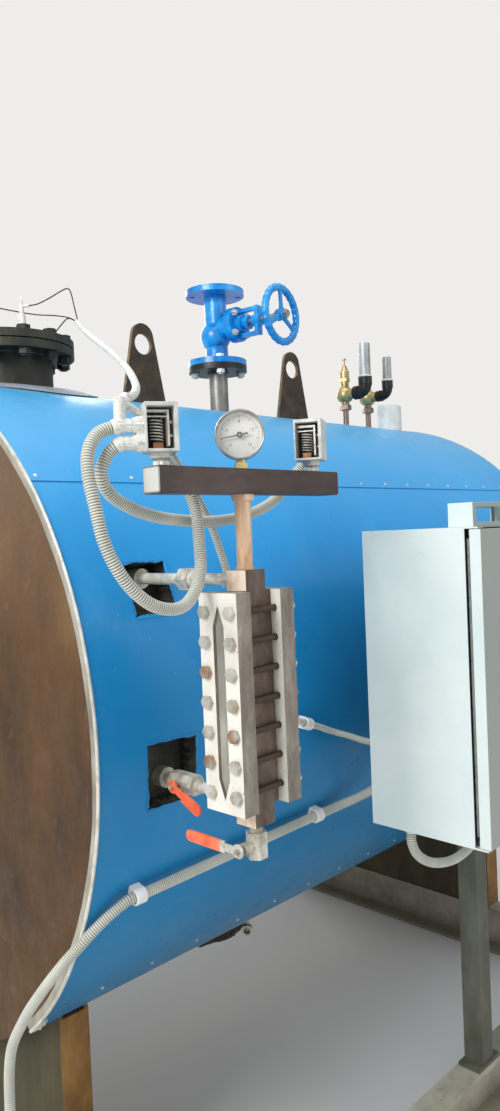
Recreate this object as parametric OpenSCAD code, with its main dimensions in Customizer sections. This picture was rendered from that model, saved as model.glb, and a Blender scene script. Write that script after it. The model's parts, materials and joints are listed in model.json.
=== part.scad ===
/* [Boiler body] */
// Outer radius of the pressure shell
shell_r = 700; // [640:10:760]
// Thickness of the shell plate
shell_t = 12; // [8:1:16]
// Thickness of the insulation round the shell
insulation_t = 48; // [40:1:60]
// Thickness of the cladding sheets and the trim
sheet_t = 2; // [1:0.5:3]
// Length of the clad body
body_len = 1900; // [1880:10:2200]
// Thickness of the flat end plates
end_plate_t = 12; // [8:1:20]
// How far the end plates reach past the shell, all round
end_plate_rim = 35; // [30:1:40]
// Angle of the seams of the top sheet above the horizontal
seam_angle = 40; // [36:1:46]
// Angle of the cladding's lower edges below the horizontal
edge_angle = 50; // [48:1:54]
// Angle by which the top sheet laps over the side sheets
seam_lap = 2.5; // [1.5:0.5:4]
// Width of the trim ring at each end
trim_w = 34; // [28:1:40]
// Distance from the front of the body to the middle of the front saddle
front_overhang = 100; // [90:5:140]

/* [Openings in the near sheet] */
// Width and height of the opening round the upper gauge pipe
upper_cut = [100, 100]; // [90:1:110]
// Width and height of the opening round the lower gauge pipe
lower_cut = [118, 120]; // [90:1:130]

/* [End fittings] */
// Radius of the furnace cover on the front plate
furnace_cover_r = 300; // [260:5:320]
// Thickness of the furnace cover
furnace_cover_t = 20; // [12:1:30]
// Height of the furnace's axis below the boiler's axis
furnace_drop = 120; // [80:5:160]
// Outer radius of the flue stub on the rear plate
flue_r = 140; // [100:5:160]
// Length of the flue stub
flue_len = 130; // [80:5:200]
// Height of the flue's axis above the boiler's axis
flue_rise = 330; // [300:5:380]

/* [Skid and saddles] */
// Height of the skid's channel section
channel_h = 160; // [140:10:200]
// Flange width of the channel section
channel_b = 65; // [60:1:75]
// Web thickness of the channel section
channel_web = 7.5; // [6:0.5:9]
// Flange thickness of the channel section
channel_flange = 10.5; // [9:0.5:12]
// Length of the skid
skid_len = 2000; // [1990:10:2300]
// Distance between the webs of the two skid beams
skid_gap = 1660; // [1640:10:1700]
// Gap between the top of the skid and the lowest line of the shell
saddle_rise = 260; // [240:10:320]
// Width of a saddle along the boiler
saddle_w = 70; // [60:1:90]
// Thickness of the saddle plates
saddle_t = 10; // [8:1:14]

/* [Lifting lugs] */
// Thickness of a lifting lug
lug_t = 12; // [10:1:20]
// Half the width of a lug where it meets the shell
lug_base = 92; // [85:1:100]
// Radius of a lug's rounded top
lug_top_r = 39; // [34:1:42]
// Height of a lug's top above the boiler's axis
lug_top = 1001; // [960:1:1040]
// Radius of a lug's lifting hole
lug_hole_r = 30; // [20:1:30]

/* [Level probe nozzle] */
// Outer radius of the nozzle's neck
nozzle_r = 107; // [100:0.5:112]
// Wall of the nozzle's neck
nozzle_wall = 8; // [6:0.5:12]
// Radius of the nozzle's flange and its cover
nozzle_flange_r = 163; // [160:1:170]
// Thickness of the nozzle's flange and its cover
nozzle_flange_t = 20; // [16:1:26]
// Bolt circle of the nozzle's flange
nozzle_pcd = 283; // [280:1:284]
// Number of bolts in the nozzle's flange
nozzle_bolts = 12; // [8:4:16]
// Radius of the nozzle's bolts
nozzle_bolt_r = 10; // [8:0.5:11]
// Height of the nozzle's joint above the boiler's axis
nozzle_joint = 862; // [850:1:900]

/* [Steam outlet] */
// Outer radius of the riser pipe
riser_r = 30.15; // [28:0.05:33]
// Wall of the riser pipe
riser_wall = 4; // [3:0.5:6]
// Radius of the pipe flanges at the stop valve
valve_flange_r = 92.5; // [90:0.5:98]
// Thickness of the pipe flanges at the stop valve
valve_flange_t = 18; // [16:1:22]
// Bolt circle of the stop valve's flanges
valve_pcd = 145; // [140:1:150]
// Radius of the bolt holes in the stop valve's flanges
valve_hole_r = 9; // [8.5:0.5:10]
// Number of bolts in a flange of the stop valve
valve_bolts = 4; // [4:4:8]
// Height of the joint under the stop valve, above the boiler's axis
valve_joint = 907; // [890:1:930]
// Length of the stop valve between its flange faces
valve_len = 240; // [235:1:250]
// Radius of the stop valve's bore
valve_bore = 25; // [22:0.5:26]
// Distance from the riser's axis to the handwheel
wheel_reach = 251; // [245:1:270]
// Outer radius of the handwheel
wheel_r = 92; // [80:0.5:95]
// Radius of the handwheel's rim bar
wheel_bar_r = 10; // [7:0.5:11]
// Turn of the stop valve's stem towards the rear
stem_turn = 8; // [0:1:12]
// Number of spokes in the handwheel
wheel_spokes = 3; // [3:1:5]
// Radius of the valve's stem
stem_r = 9; // [7:0.5:10]

/* [Safety valves] */
// Radius of a safety valve's body
safety_r = 32; // [28:1:34]
// Height of a safety valve's outlet above the boiler's axis
safety_outlet = 880; // [870:1:890]
// Distance from a safety valve's axis to its discharge pipe
discharge_reach = 95; // [85:1:110]
// Outer radius of a discharge pipe
discharge_r = 21.2; // [18:0.1:24]
// Height of the discharge pipes' ends above the boiler's axis
discharge_top = 1054; // [1020:1:1080]
// Outer radius of the rear discharge pipe
discharge_rear_r = 16.85; // [15:0.05:20]
// How much lower the rear discharge pipe ends
discharge_step = 33; // [0:1:40]
// Outer radius of the loose sleeve behind the safety valves
sleeve_r = 43; // [38:1:48]
// Height of the sleeve
sleeve_h = 88; // [70:1:100]

/* [Level gauge] */
// Distance from the boiler's axis out to the middle of the gauge
gauge_y = 948; // [930:1:970]
// Width of a gauge cover
cover_w = 88; // [84:1:96]
// Height of a gauge cover
cover_h = 356; // [350:1:380]
// Thickness of a gauge cover
cover_t = 32; // [28:1:36]
// Distance between the two gauge covers
cover_gap = 70; // [66:1:80]
// Height of the covers' lower edge, from the boiler's axis
cover_low = -80; // [-90:1:-76]
// Width of the gauge's centre body
gauge_body_w = 46; // [42:1:50]
// How far the centre body reaches past the covers, at each end
gauge_block = 34; // [30:1:40]
// Rows of bolts in a gauge cover
bolt_rows = 7; // [6:1:8]
// Distance between rows of bolts
bolt_pitch = 49; // [47:0.5:50]
// Distance between the two columns of bolts
bolt_columns = 59; // [56:0.5:60]
// Radius of the gauge's bolts
bolt_r = 5.5; // [5:0.5:6]
// Width of the window in a gauge cover
window_w = 25; // [20:1:26]
// Height of the window in a gauge cover
window_h = 316; // [290:1:324]
// Outer radius of the pipe between the gauge and the manifold
rise_pipe_r = 13.45; // [10.5:0.05:14]
// Outer radius of the gauge's pipes
pipe_r = 10.65; // [10:0.05:12]
// Height of the lower branch pipe, from the boiler's axis
lower_branch = -78; // [-82:1:-72]
// Distance from the boiler's axis to the stem of the lower branch's valve
branch_valve_y = 772; // [768:1:790]
// Length of the lower branch valve's lever
branch_lever_len = 80; // [70:1:95]
// Angle by which the drain valve's lever rises
drain_lever_rise = 0; // [0:1:5]
// Angle by which the branch valve's lever hangs below its pipe
branch_lever_drop = 25; // [15:1:35]
// Length of the drain valve's lever
drain_lever_len = 128; // [110:1:140]
// Width of a lever
lever_w = 20; // [16:1:24]
// Distance from a ball valve's axis out to its lever
lever_out = 30; // [28:1:34]
// Distance of the drain valve's lever from the same line, clear of the branch valve's lever
drain_lever_out = 42; // [42:1:48]

/* [Manifold and instruments] */
// Side of the manifold's square tube
manifold_w = 42; // [38:1:46]
// Wall of the manifold's tube
manifold_wall = 3; // [2:0.5:4]
// Reach of the manifold past the gauge towards the front
manifold_left = 190; // [180:1:200]
// Reach of the manifold past the gauge towards the rear
manifold_right = 230; // [225:1:250]
// Height of the manifold's middle above the boiler's axis
manifold_z = 455; // [445:1:475]
// Radius of the pressure gauge's case
dial_r = 40.5; // [38:0.5:44]
// Depth of the pressure gauge's case
dial_depth = 34; // [32:1:40]
// Height of the dial's centre above the manifold
dial_rise = 56; // [54:1:64]
// Angle of the pressure gauge's face, from straight out towards the front
dial_turn = 45; // [30:1:60]
// Width of a pressure switch
switch_w = 50; // [44:1:54]
// Height of a pressure switch
switch_h = 73; // [68:1:84]
// Depth of a pressure switch
switch_d = 52; // [48:1:60]
// Height of a pressure switch's bellows above the manifold
switch_neck = 20; // [18:1:28]

/* [Control cabinet] */
// Width of the cabinet
cabinet_w = 800; // [700:10:900]
// Height of the cabinet
cabinet_h = 600; // [560:10:640]
// Depth of the cabinet's body
cabinet_d = 233; // [200:1:260]
// Distance of the cabinet's side from the front saddle
cabinet_x = 465; // [440:5:490]
// Distance of the cabinet's back from the boiler's axis
cabinet_y = 895; // [885:1:905]
// Height of the cabinet's underside above the floor
cabinet_z = 885; // [860:5:920]
// Thickness of the cabinet's sheet
cabinet_t = 2; // [1.5:0.5:3]
// Depth of the cabinet's door
door_d = 23; // [20:1:30]
// Gap between the cabinet's body and its door
door_gap = 10; // [8:0.5:14]
// Radius of the door's hinge pins
hinge_pin_r = 4; // [3:0.5:5]
// Side of the square post under the cabinet
post_w = 50; // [40:5:60]
// Distance from the cabinet's side to the post
post_in = 415; // [380:5:450]
// Length, depth and height of the cable hood on top of the cabinet
hood = [180, 54, 47]; // [40:1:240]
// Distance of the hood from the cabinet's side and from its front edge
hood_in = [55, 12]; // [8:1:80]

/* [Conduits] */
// Radius of the flexible conduits
conduit_r = 10; // [9:0.5:11]
// Radius of the thin conduit
thin_r = 7; // [6:0.5:8]
// Sides of a conduit's tube
conduit_sides = 10; // [8:1:12]

/* [Hidden] */
$fn = 64;

// Gap at which a piece lies on a curved seat
seat = 0.2;
// Clearance round a pipe or plate that passes through sheet and insulation
hole_gap = 2;
// Running clearance of a pin in its hole
pin_gap = 0.05;
// Overlap that joins two shapes of one piece
weld = 1;

clad_r = shell_r + insulation_t + sheet_t;
top_r = clad_r + seat + sheet_t;
axis_z = channel_h + saddle_rise + shell_r;
x_front = -front_overhang;
x_rear = x_front + body_len;
x_saddle_rear = x_rear - front_overhang;
shell_x0 = x_front + end_plate_t;
shell_x1 = x_rear - end_plate_t;
skid_x0 = (x_front + x_rear - skid_len) / 2;
web_y = skid_gap / 2;

// Places of the fittings along the body, from the front saddle
probe_x = 196;
lug_front_x = 628;
lug_rear_x = 1282;
riser_x = 930;
safety_front_x = 1584;
safety_rear_x = 1724;
sleeve_x = 1650;
sleeve_y = 150;
gauge_x = 72;
upper_cut_x = 70;
upper_cut_z = 275;
lower_cut_x = 64;
lower_cut_z = -60;

gasket_t = 3;
nozzle_hole_r = nozzle_bolt_r + 1;
valve_bolt_r = valve_hole_r - 1;
valve_z = axis_z + valve_joint;
valve_mid_z = valve_z + valve_len / 2;
yoke_y = 172;
bonnet_y = 81;
stem_in = bonnet_y + 1;
wheel_hub_len = 26;
bonnet_r = 53.5;
valve_wall = 10;
// The valve's flanges straddle its stem, and its lower holes are opened for the joint's bolts
valve_phase = 45 + stem_turn;
joint_hole_r = valve_hole_r + 0.6;
stem_travel = 16;

gauge_top = cover_low + cover_h + gauge_block;
gauge_mid = cover_low + cover_h / 2;
first_row = cover_h / 2 - (cover_h - (bolt_rows - 1) * bolt_pitch) / 2;
upper_branch = cover_low + cover_h + gauge_block / 2;
lever_t = 3;
drain_z = cover_low - gauge_block - 35;
manifold_top = axis_z + manifold_z + manifold_w / 2;
dial_z = manifold_top + dial_rise;
switch_front_x = -98;
switch_rear_x = 251;
switch_front_turn = 29;
switch_rear_turn = 60;
switch_mid_z = manifold_top + switch_neck + switch_h / 2;

body_front_y = -(cabinet_y + cabinet_d);
door_back_y = body_front_y - door_gap;
door_front_y = door_back_y - door_d;
hinge_x = cabinet_x + 8;
hinge_y = door_back_y - door_d / 2;
hinge_gap = 1.5;
bracket_t = 3;
door_low_z = cabinet_z + bracket_t + hinge_gap;
door_high_z = cabinet_z + cabinet_h - bracket_t - hinge_gap;

// Places along the clad body where the conduits are clamped: x, angle, turn
clamp_front = [-5, -21, 0];
clamp_rear = [490, -20, 0];
clamp_upper = [418, -2.8, -20];
clamp_rise = conduit_r + 8;
clamp_play = 0.9;
wire_r = 1.6;
gland_h = 16;
gland_in = 2;

// Route of the big loop beside the front switch
loop_a = [
  [-134, -931, 1656], [-151, -922, 1656], [-182, -912, 1645], [-203, -915, 1620], [-211, -922, 1585],
  [-208, -932, 1535], [-200, -940, 1481], [-177, -950, 1430], [-142, -955, 1395], [-100, -952, 1380],
  [-60, -944, 1382], [-28, -934, 1402], [-4, -922, 1435], [8, -908, 1480], [18, -892, 1530],
  [14, -872, 1575], [-4, -860, 1608], [-28, -862, 1628], [-58, -884, 1640], [-74, -912, 1642]
];
// Route of the loop between the two switches
loop_b = [
  [-134, -931, 1630], [-151, -922, 1629], [-168, -911, 1614], [-176, -905, 1585], [-160, -900, 1558],
  [-115, -892, 1536], [-60, -880, 1523], [-5, -870, 1517], [45, -864, 1514], [95, -862, 1514],
  [150, -862, 1520], [205, -862, 1534], [255, -858, 1556], [295, -852, 1586], [322, -866, 1618],
  [326, -893, 1640], [306, -916, 1648], [288, -926, 1648]
];
// Route of the thin conduit from the front switch down to the cabinet
drop = [
  [-73, -915, 1668], [-66, -901, 1668], [-48, -880, 1664], [-20, -860, 1655], [10, -846, 1630],
  [40, -843, 1590], [70, -843, 1550], [100, -842, 1500], [132, -838, 1430], [165, -832, 1360],
  [205, -826, 1280], [255, -812, 1200], [320, -790, 1130], [382, -772, 1097], [401, -767, 1089],
  [435, -767, 1076], [452, -767, 1070], [490, -774, 1053], [514, -800, 1042], [520, -840, 1035], [520, -880, 1035]
];
// Route of the long conduit along the body and down to the skid
run = [
  [640, -880, 930], [640, -855, 930], [635, -800, 905], [610, -750, 874], [560, -726, 860], [515, -722, 857],
  [490, -722, 857], [460, -722, 857], [320, -720, 853], [160, -719, 849], [22, -717, 845],
  [-24, -717, 845], [-40, -714, 839], [-72, -705, 821], [-108, -690, 790], [-132, -655, 745],
  [-146, -600, 680], [-152, -552, 620], [-157, -505, 540], [-155, -487, 420], [-151, -485, 330],
  [-140, -485, 250], [-118, -485, 180], [-92, -485, 135], [-68, -485, 110], [-48, -485, 110]
];
// Route of the loop under the cabinet
under = [
  [505, -960, 870], [505, -960, 850], [522, -960, 819], [565, -960, 789], [620, -960, 770],
  [675, -960, 763], [730, -960, 770], [785, -960, 789], [828, -960, 819], [845, -960, 850],
  [845, -960, 870]
];
// Route of the sleeve from the level probes to the front switch
lead = [
  [325, -120, 2053], [303, -185, 2013], [271, -273, 1969], [240, -349, 1935], [211, -418, 1904],
  [161, -514, 1863], [113, -600, 1826], [60, -684, 1790], [9, -758, 1759], [-39, -820, 1736],
  [-77, -862, 1718], [-106, -888, 1707], [-126, -902.5, 1701], [-137, -913, 1691.5]
];
// Routes of the wires between the level probes and that sleeve
wire_a = [
  [223, -59, 2091], [242, -70, 2096], [268, -88, 2112], [294, -104, 2131], [309, -111, 2137],
  [315, -114, 2124], [321, -117, 2090], [328, -118, 2059]
];
wire_b = [[266, -56, 2020], [282, -75, 2026], [294, -94, 2046], [307, -106, 2062], [322, -116, 2057]];
wire_c = [
  [148, 1, 2091], [198, 5, 2091], [270, -7, 2088], [300, -60, 2078], [316, -98, 2067], [325, -113, 2057]
];

// Draws its children about the boiler's axis: their x is across, y is up, z runs along the body
module about_axis(x) {
  translate([x, 0, axis_z]) rotate([90, 0, 90]) children();
}

// A part of a tube about the boiler's axis, between two angles above the near horizontal
module sector(r0, r1, from, to, x0, x1) {
  about_axis(x0)
    rotate([0, 0, 180 - to])
      rotate_extrude(angle = to - from)
        translate([r0, 0]) square([r1 - r0, x1 - x0]);
}

// The whole space inside a radius about the boiler's axis
module round_body(r) {
  about_axis(x_front - 200) cylinder(r = r, h = body_len + 400, $fn = 128);
}

// Draws its children on the near side's surface: z points outwards, y up along the sheet
module on_cladding(x, angle) {
  translate([x, 0, axis_z]) rotate([90 - angle, 0, 0]) translate([0, 0, clad_r]) children();
}

// Draws its children looking out from the near side, turned towards the front: z points at the viewer
module facing(turn) {
  rotate([90, 0, -turn]) children();
}

module tube(r, wall, h) {
  difference() {
    cylinder(r = r, h = h);
    translate([0, 0, -weld]) cylinder(r = r - wall, h = h + 2 * weld);
  }
}

// A hexagon by the width across its flats
module hexagon(across, h) {
  cylinder(r = across / sqrt(3), h = h, $fn = 6);
}

// A bolt with its head on top and a nut below, through a joint whose top face is at z = 0
module bolt(r, grip) {
  translate([0, 0, -grip - 1.6 * r - 4]) cylinder(r = r, h = grip + 1.6 * r + 4 + weld);
  hexagon(3 * r, 1.2 * r);
  translate([0, 0, -grip - 1.6 * r]) hexagon(3 * r, 1.6 * r);
}

module ring_of(count, radius, phase = 0) {
  for (i = [0 : count - 1])
    rotate([0, 0, phase + i * 360 / count]) translate([radius, 0, 0]) children();
}

function unit(v) = v / norm(v);
function along(p, i) = unit(p[min(i + 1, len(p) - 1)] - p[max(i - 1, 0)]);
function square_to(v, t) = unit(v - (v * t) * t);
function carry(p, v, i = 0, made = []) =
  i == len(p) ? made : let (n = square_to(v, along(p, i))) carry(p, n, i + 1, concat(made, [n]));

// A round tube swept through the points of a route
module swept(p, r) {
  s = conduit_sides;
  n = carry(p, cross(along(p, 0), [0.3, 0.2, 1]));
  rings = [
    for (i = [0 : len(p) - 1])
      let (b = cross(along(p, i), n[i]))
        for (k = [0 : s - 1]) p[i] + r * (cos(k * 360 / s) * n[i] + sin(k * 360 / s) * b)
  ];
  last = (len(p) - 1) * s;
  sides = [
    for (i = [0 : len(p) - 2], k = [0 : s - 1])
      let (a = i * s + k, b = i * s + (k + 1) % s)
        each [[a, a + s, b], [b, a + s, b + s]]
  ];
  caps = [[for (k = [0 : s - 1]) k], [for (k = [s - 1 : -1 : 0]) last + k]];
  polyhedron(rings, concat(sides, caps), convexity = 6);
}

// A cable gland for a conduit of radius r, standing on the plane z = 0
module gland(r) {
  difference() {
    union() {
      cylinder(r = r + 2, h = gland_h);
      hexagon(2 * r + 6, gland_h - 5);
    }
    translate([0, 0, gland_h - gland_in]) cylinder(r = r + seat, h = gland_in + weld);
  }
}

module shell() color("#5E4A38") about_axis(shell_x0) tube(shell_r, shell_t, shell_x1 - shell_x0);

module end_plate(x) {
  about_axis(x) cylinder(r = shell_r + end_plate_rim, h = end_plate_t);
}

module front_plate() color("#6B5238") end_plate(x_front);

module rear_plate() color("#6B5238") end_plate(x_rear - end_plate_t);

// The two openings in the near side, through sheet and insulation
module side_cuts() {
  for (c = [[upper_cut_x, upper_cut_z, upper_cut], [lower_cut_x, lower_cut_z, lower_cut]])
    translate([c[0] - c[2][0] / 2, -clad_r - 10, axis_z + c[1] - c[2][1] / 2])
      cube([c[2][0], clad_r - shell_r + 160, c[2][1]]);
}

module pipe_cut(x, y, r) {
  translate([x, y, axis_z]) cylinder(r = r + hole_gap, h = top_r + 50);
}

// Holes for all that stands on the top of the shell
module top_cuts() {
  pipe_cut(probe_x, 0, nozzle_r);
  pipe_cut(riser_x, 0, riser_r);
  pipe_cut(safety_front_x, 0, safety_nipple_r);
  pipe_cut(safety_rear_x, 0, safety_nipple_r);
  for (x = [lug_front_x, lug_rear_x])
    translate([x - lug_base - hole_gap, -lug_t / 2 - hole_gap, axis_z])
      cube([2 * (lug_base + hole_gap), lug_t + 2 * hole_gap, top_r + 50]);
}

module insulation() color("#2B2A26")
  difference() {
    sector(shell_r + seat, clad_r - sheet_t - seat, -edge_angle, 180 + edge_angle, shell_x0, shell_x1);
    side_cuts();
    top_cuts();
  }

module cladding_near() color("#2A93DC")
  difference() {
    sector(clad_r - sheet_t, clad_r, -edge_angle, seam_angle + seam_lap, x_front, x_rear);
    side_cuts();
  }

module cladding_far() color("#2A93DC")
  sector(clad_r - sheet_t, clad_r, 180 - seam_angle - seam_lap, 180 + edge_angle, x_front, x_rear);

module cladding_top() color("#3FA2E4")
  difference() {
    sector(clad_r + seat, top_r, seam_angle, 180 - seam_angle, x_front, x_rear);
    top_cuts();
  }

module end_trims() color("#C9C9C2")
  for (x = [x_front - sheet_t, x_rear])
    sector(top_r - trim_w, top_r, -edge_angle, 180 + edge_angle, x, x + sheet_t);

module furnace_cover() color("#5A4636") {
  about_axis(x_front - furnace_cover_t)
    translate([0, -furnace_drop, 0]) {
      cylinder(r = furnace_cover_r, h = furnace_cover_t);
      for (s = [-1, 1])
        translate([s * furnace_cover_r / 2, 0, 0]) {
          for (t = [-1, 1]) translate([0, t * 45, -30]) cylinder(r = 7, h = 30 + weld);
          translate([0, 0, -30]) rotate([90, 0, 0]) cylinder(r = 7, h = 104, center = true);
        }
      ring_of(12, furnace_cover_r - 25) translate([0, 0, -10]) hexagon(30, 10 + weld);
    }
}

module flue_stub() color("#4A4540")
  about_axis(x_rear) translate([0, flue_rise, 0]) {
    tube(flue_r, 5, flue_len);
    translate([0, 0, flue_len - 10])
      difference() {
        cylinder(r = flue_r + 40, h = 10);
        translate([0, 0, -weld]) cylinder(r = flue_r - 5, h = 10 + 2 * weld);
        ring_of(8, flue_r + 22, 22.5) translate([0, 0, -weld]) cylinder(r = 7, h = 10 + 2 * weld);
      }
  }

// A channel section along x from 0, with its web on the side where y is 0 and its flanges towards +y
module channel(length) {
  rotate([90, 0, 90])
    linear_extrude(length)
      difference() {
        square([channel_b, channel_h]);
        translate([channel_web, channel_flange])
          square([channel_b, channel_h - 2 * channel_flange]);
      }
}

module skid_beam() {
  difference() {
    translate([skid_x0, web_y, 0]) channel(skid_len);
    for (x = [0, x_saddle_rear])
      translate([x, web_y + channel_b / 2 + 4, -weld]) cylinder(r = 9, h = channel_h + 2 * weld);
  }
}

module skid_beams() color("#B5B0A2") {
  skid_beam();
  mirror([0, 1, 0]) skid_beam();
}

// A cross member with its web on the outer side: side is -1 at the front and 1 at the rear
module crossmember(x, side) {
  translate([x, 0, 0])
    mirror([1 - side, 0, 0])
      translate([channel_b / 2, -web_y, 0]) rotate([0, 0, 90]) channel(2 * web_y);
}

module crossmembers() color("#7A6A50") {
  crossmember(0, -1);
  crossmember(x_saddle_rear, 1);
}

saddle_half = clad_r * cos(edge_angle) - 7;
saddle_side_h = axis_z - clad_r * sin(edge_angle) - 13;
saddle_arc = 90 - edge_angle - 2;

module saddle(x) {
  translate([x, 0, 0]) {
    for (s = [-1, 1])
      translate([s * (saddle_w - saddle_t) / 2, 0, 0])
        rotate([90, 0, 90])
          linear_extrude(saddle_t, center = true)
            difference() {
              polygon([
                [-saddle_half, channel_h], [saddle_half, channel_h], [saddle_half, saddle_side_h],
                [saddle_half - 36, saddle_side_h + 44], [36 - saddle_half, saddle_side_h + 44],
                [-saddle_half, saddle_side_h]
              ]);
              translate([0, axis_z]) circle(r = shell_r + saddle_t / 2, $fn = 128);
            }
    for (s = [-1, 1])
      translate([-saddle_w / 2, s * (saddle_half - saddle_t / 2) - saddle_t / 2, channel_h])
        cube([saddle_w, saddle_t, saddle_side_h - channel_h]);
    translate([-saddle_w / 2, -saddle_half, channel_h]) cube([saddle_w, 2 * saddle_half, saddle_t]);
  }
  sector(shell_r + seat, shell_r + saddle_t, -90 - saddle_arc, saddle_arc - 90,
         x - saddle_w / 2 - 20, x + saddle_w / 2 + 20);
}

module saddles() color("#85602F") {
  saddle(0);
  saddle(x_saddle_rear);
}

lug_base_z = shell_r + seat;
lug_arc_z = lug_top - lug_top_r;
lug_hole_z = lug_top - 61;
lug_reach = norm([lug_base, lug_base_z - lug_arc_z]);
lug_touch = atan2(lug_base_z - lug_arc_z, lug_base) + acos(lug_top_r / lug_reach);

module lug(x) {
  edge = lug_top_r * [cos(lug_touch), sin(lug_touch)];
  translate([x, 0, axis_z])
    rotate([90, 0, 0])
      linear_extrude(lug_t, center = true)
        difference() {
          union() {
            polygon([
              [-lug_base, lug_base_z], [lug_base, lug_base_z], [edge.x, lug_arc_z + edge.y],
              [-edge.x, lug_arc_z + edge.y]
            ]);
            translate([0, lug_arc_z]) circle(r = lug_top_r);
          }
          translate([0, lug_hole_z]) circle(r = lug_hole_r);
        }
}

module lifting_lugs() color("#3A3B3A") {
  lug(lug_front_x);
  lug(lug_rear_x);
}

module probe_nozzle() color("#35352F")
  difference() {
    translate([probe_x, 0, axis_z]) {
      cylinder(r = nozzle_r, h = nozzle_joint - weld);
      translate([0, 0, nozzle_joint - nozzle_flange_t]) cylinder(r = nozzle_flange_r, h = nozzle_flange_t);
    }
    translate([probe_x, 0, axis_z]) {
      cylinder(r = nozzle_r - nozzle_wall, h = nozzle_joint + weld);
      ring_of(nozzle_bolts, nozzle_pcd / 2, 15) cylinder(r = nozzle_hole_r, h = nozzle_joint + weld);
    }
    round_body(shell_r + seat);
  }

cover_top = nozzle_joint + gasket_t + nozzle_flange_t;

module probe_cover() color("#3E3F3B")
  translate([probe_x, 0, axis_z + nozzle_joint])
    difference() {
      union() {
        cylinder(r = nozzle_pcd / 2 - nozzle_hole_r - 4, h = gasket_t + weld);
        translate([0, 0, gasket_t]) cylinder(r = nozzle_flange_r, h = nozzle_flange_t);
      }
      ring_of(nozzle_bolts, nozzle_pcd / 2, 15)
        translate([0, 0, -weld]) cylinder(r = nozzle_hole_r, h = nozzle_flange_t + gasket_t + 2 * weld);
    }

module nozzle_bolt_set() color("#55574F")
  translate([probe_x, 0, axis_z + cover_top])
    ring_of(nozzle_bolts, nozzle_pcd / 2, 15) bolt(nozzle_bolt_r, 2 * nozzle_flange_t + gasket_t);

// Places of the level probes on the cover
probes = [[15, -45], [-60, 15]];
low_probe = [58, -42];
probe_h = 112;

module level_probes() color("#E8E6DE") {
  for (p = probes)
    translate([probe_x + p.x, p.y, axis_z + cover_top]) {
      hexagon(30, 14);
      cylinder(r = 13, h = 22);
      cylinder(r = 9, h = 62);
      cylinder(r = 5, h = 92);
      cylinder(r = 2, h = probe_h);
      translate([0, 0, 86]) rotate([90, 0, 40]) cylinder(r = 3.5, h = 20);
    }
  translate([probe_x + low_probe.x, low_probe.y, axis_z + cover_top]) {
    hexagon(24, 10);
    cylinder(r = 7, h = 20);
    translate([0, 0, 15]) rotate([90, 0, 40]) cylinder(r = 3.5, h = 20);
  }
}

module level_wires() color("#1E1B18")
  for (w = [wire_a, wire_b, wire_c]) swept(w, wire_r);

module steam_riser() color("#6E675D")
  difference() {
    translate([riser_x, 0, axis_z]) {
      cylinder(r = riser_r, h = valve_joint - weld);
      translate([0, 0, valve_joint - valve_flange_t]) cylinder(r = valve_flange_r, h = valve_flange_t);
    }
    translate([riser_x, 0, axis_z]) {
      cylinder(r = riser_r - riser_wall, h = valve_joint + weld);
      ring_of(valve_bolts, valve_pcd / 2, valve_phase) cylinder(r = joint_hole_r, h = valve_joint + weld);
    }
    round_body(shell_r + seat);
  }

module valve_body() color("#2F8FE0")
  difference() {
    union() {
      translate([riser_x, 0, valve_z]) {
        cylinder(r = valve_flange_r, h = valve_flange_t);
        translate([0, 0, valve_len - valve_flange_t]) cylinder(r = valve_flange_r, h = valve_flange_t);
        cylinder(r = valve_bore + valve_wall, h = valve_len - weld);
      }
      translate([riser_x - 4, 0, valve_mid_z - 24]) sphere(r = 48);
      on_stem() {
        cylinder(r = 34, h = bonnet_y);
        translate([0, 0, bonnet_y - 13]) cylinder(r = bonnet_r, h = 13);
      }
    }
    translate([riser_x, 0, valve_z - weld]) cylinder(r = valve_bore, h = valve_len + 2 * weld);
    on_stem() translate([0, 0, bonnet_y - stem_travel - 5])
      cylinder(r = stem_r + pin_gap, h = stem_travel + 5 + weld);
    translate([riser_x, 0, valve_z])
      ring_of(valve_bolts, valve_pcd / 2, valve_phase) {
        translate([0, 0, -weld]) cylinder(r = joint_hole_r, h = valve_flange_t + 2 * weld);
        translate([0, 0, valve_len - valve_flange_t - weld])
          cylinder(r = valve_hole_r, h = valve_flange_t + 2 * weld);
      }
  }

// Draws its children on the stop valve's stem axis: z points out of the valve
module on_stem() {
  translate([riser_x, 0, valve_mid_z]) rotate([90, 0, stem_turn]) children();
}

module valve_bonnet() color("#2A86D6")
  on_stem()
    difference() {
      union() {
        translate([0, 0, bonnet_y]) cylinder(r = bonnet_r, h = 13);
        translate([0, 0, bonnet_y]) cylinder(r = 27, h = 32);
        translate([0, 0, bonnet_y]) cylinder(r = 17, h = 54);
        translate([0, 0, bonnet_y + 44]) hexagon(40, 10);
        for (s = [-1, 1])
          translate([-8, s * 38 - 6, bonnet_y + weld]) cube([16, 12, yoke_y - bonnet_y - weld]);
        translate([-13, -44, yoke_y - 12]) cube([26, 88, 12]);
        translate([0, 0, yoke_y - 20]) cylinder(r = 19, h = 26);
        ring_of(4, bonnet_r - 11, 45) translate([0, 0, bonnet_y + 12]) hexagon(17, 11);
      }
      translate([0, 0, bonnet_y - weld]) cylinder(r = stem_r + pin_gap, h = yoke_y);
    }

hub_back = wheel_reach - wheel_hub_len / 2;
hub_front = wheel_reach + wheel_hub_len / 2;

module valve_stem() color("#C8C6BE")
  on_stem() {
    translate([0, 0, stem_in]) cylinder(r = stem_r, h = hub_front + 14 - stem_in);
    translate([0, 0, hub_back - 6 - seat]) cylinder(r = stem_r + 4, h = 6);
    translate([0, 0, hub_front + seat]) hexagon(24, 9);
  }

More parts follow.
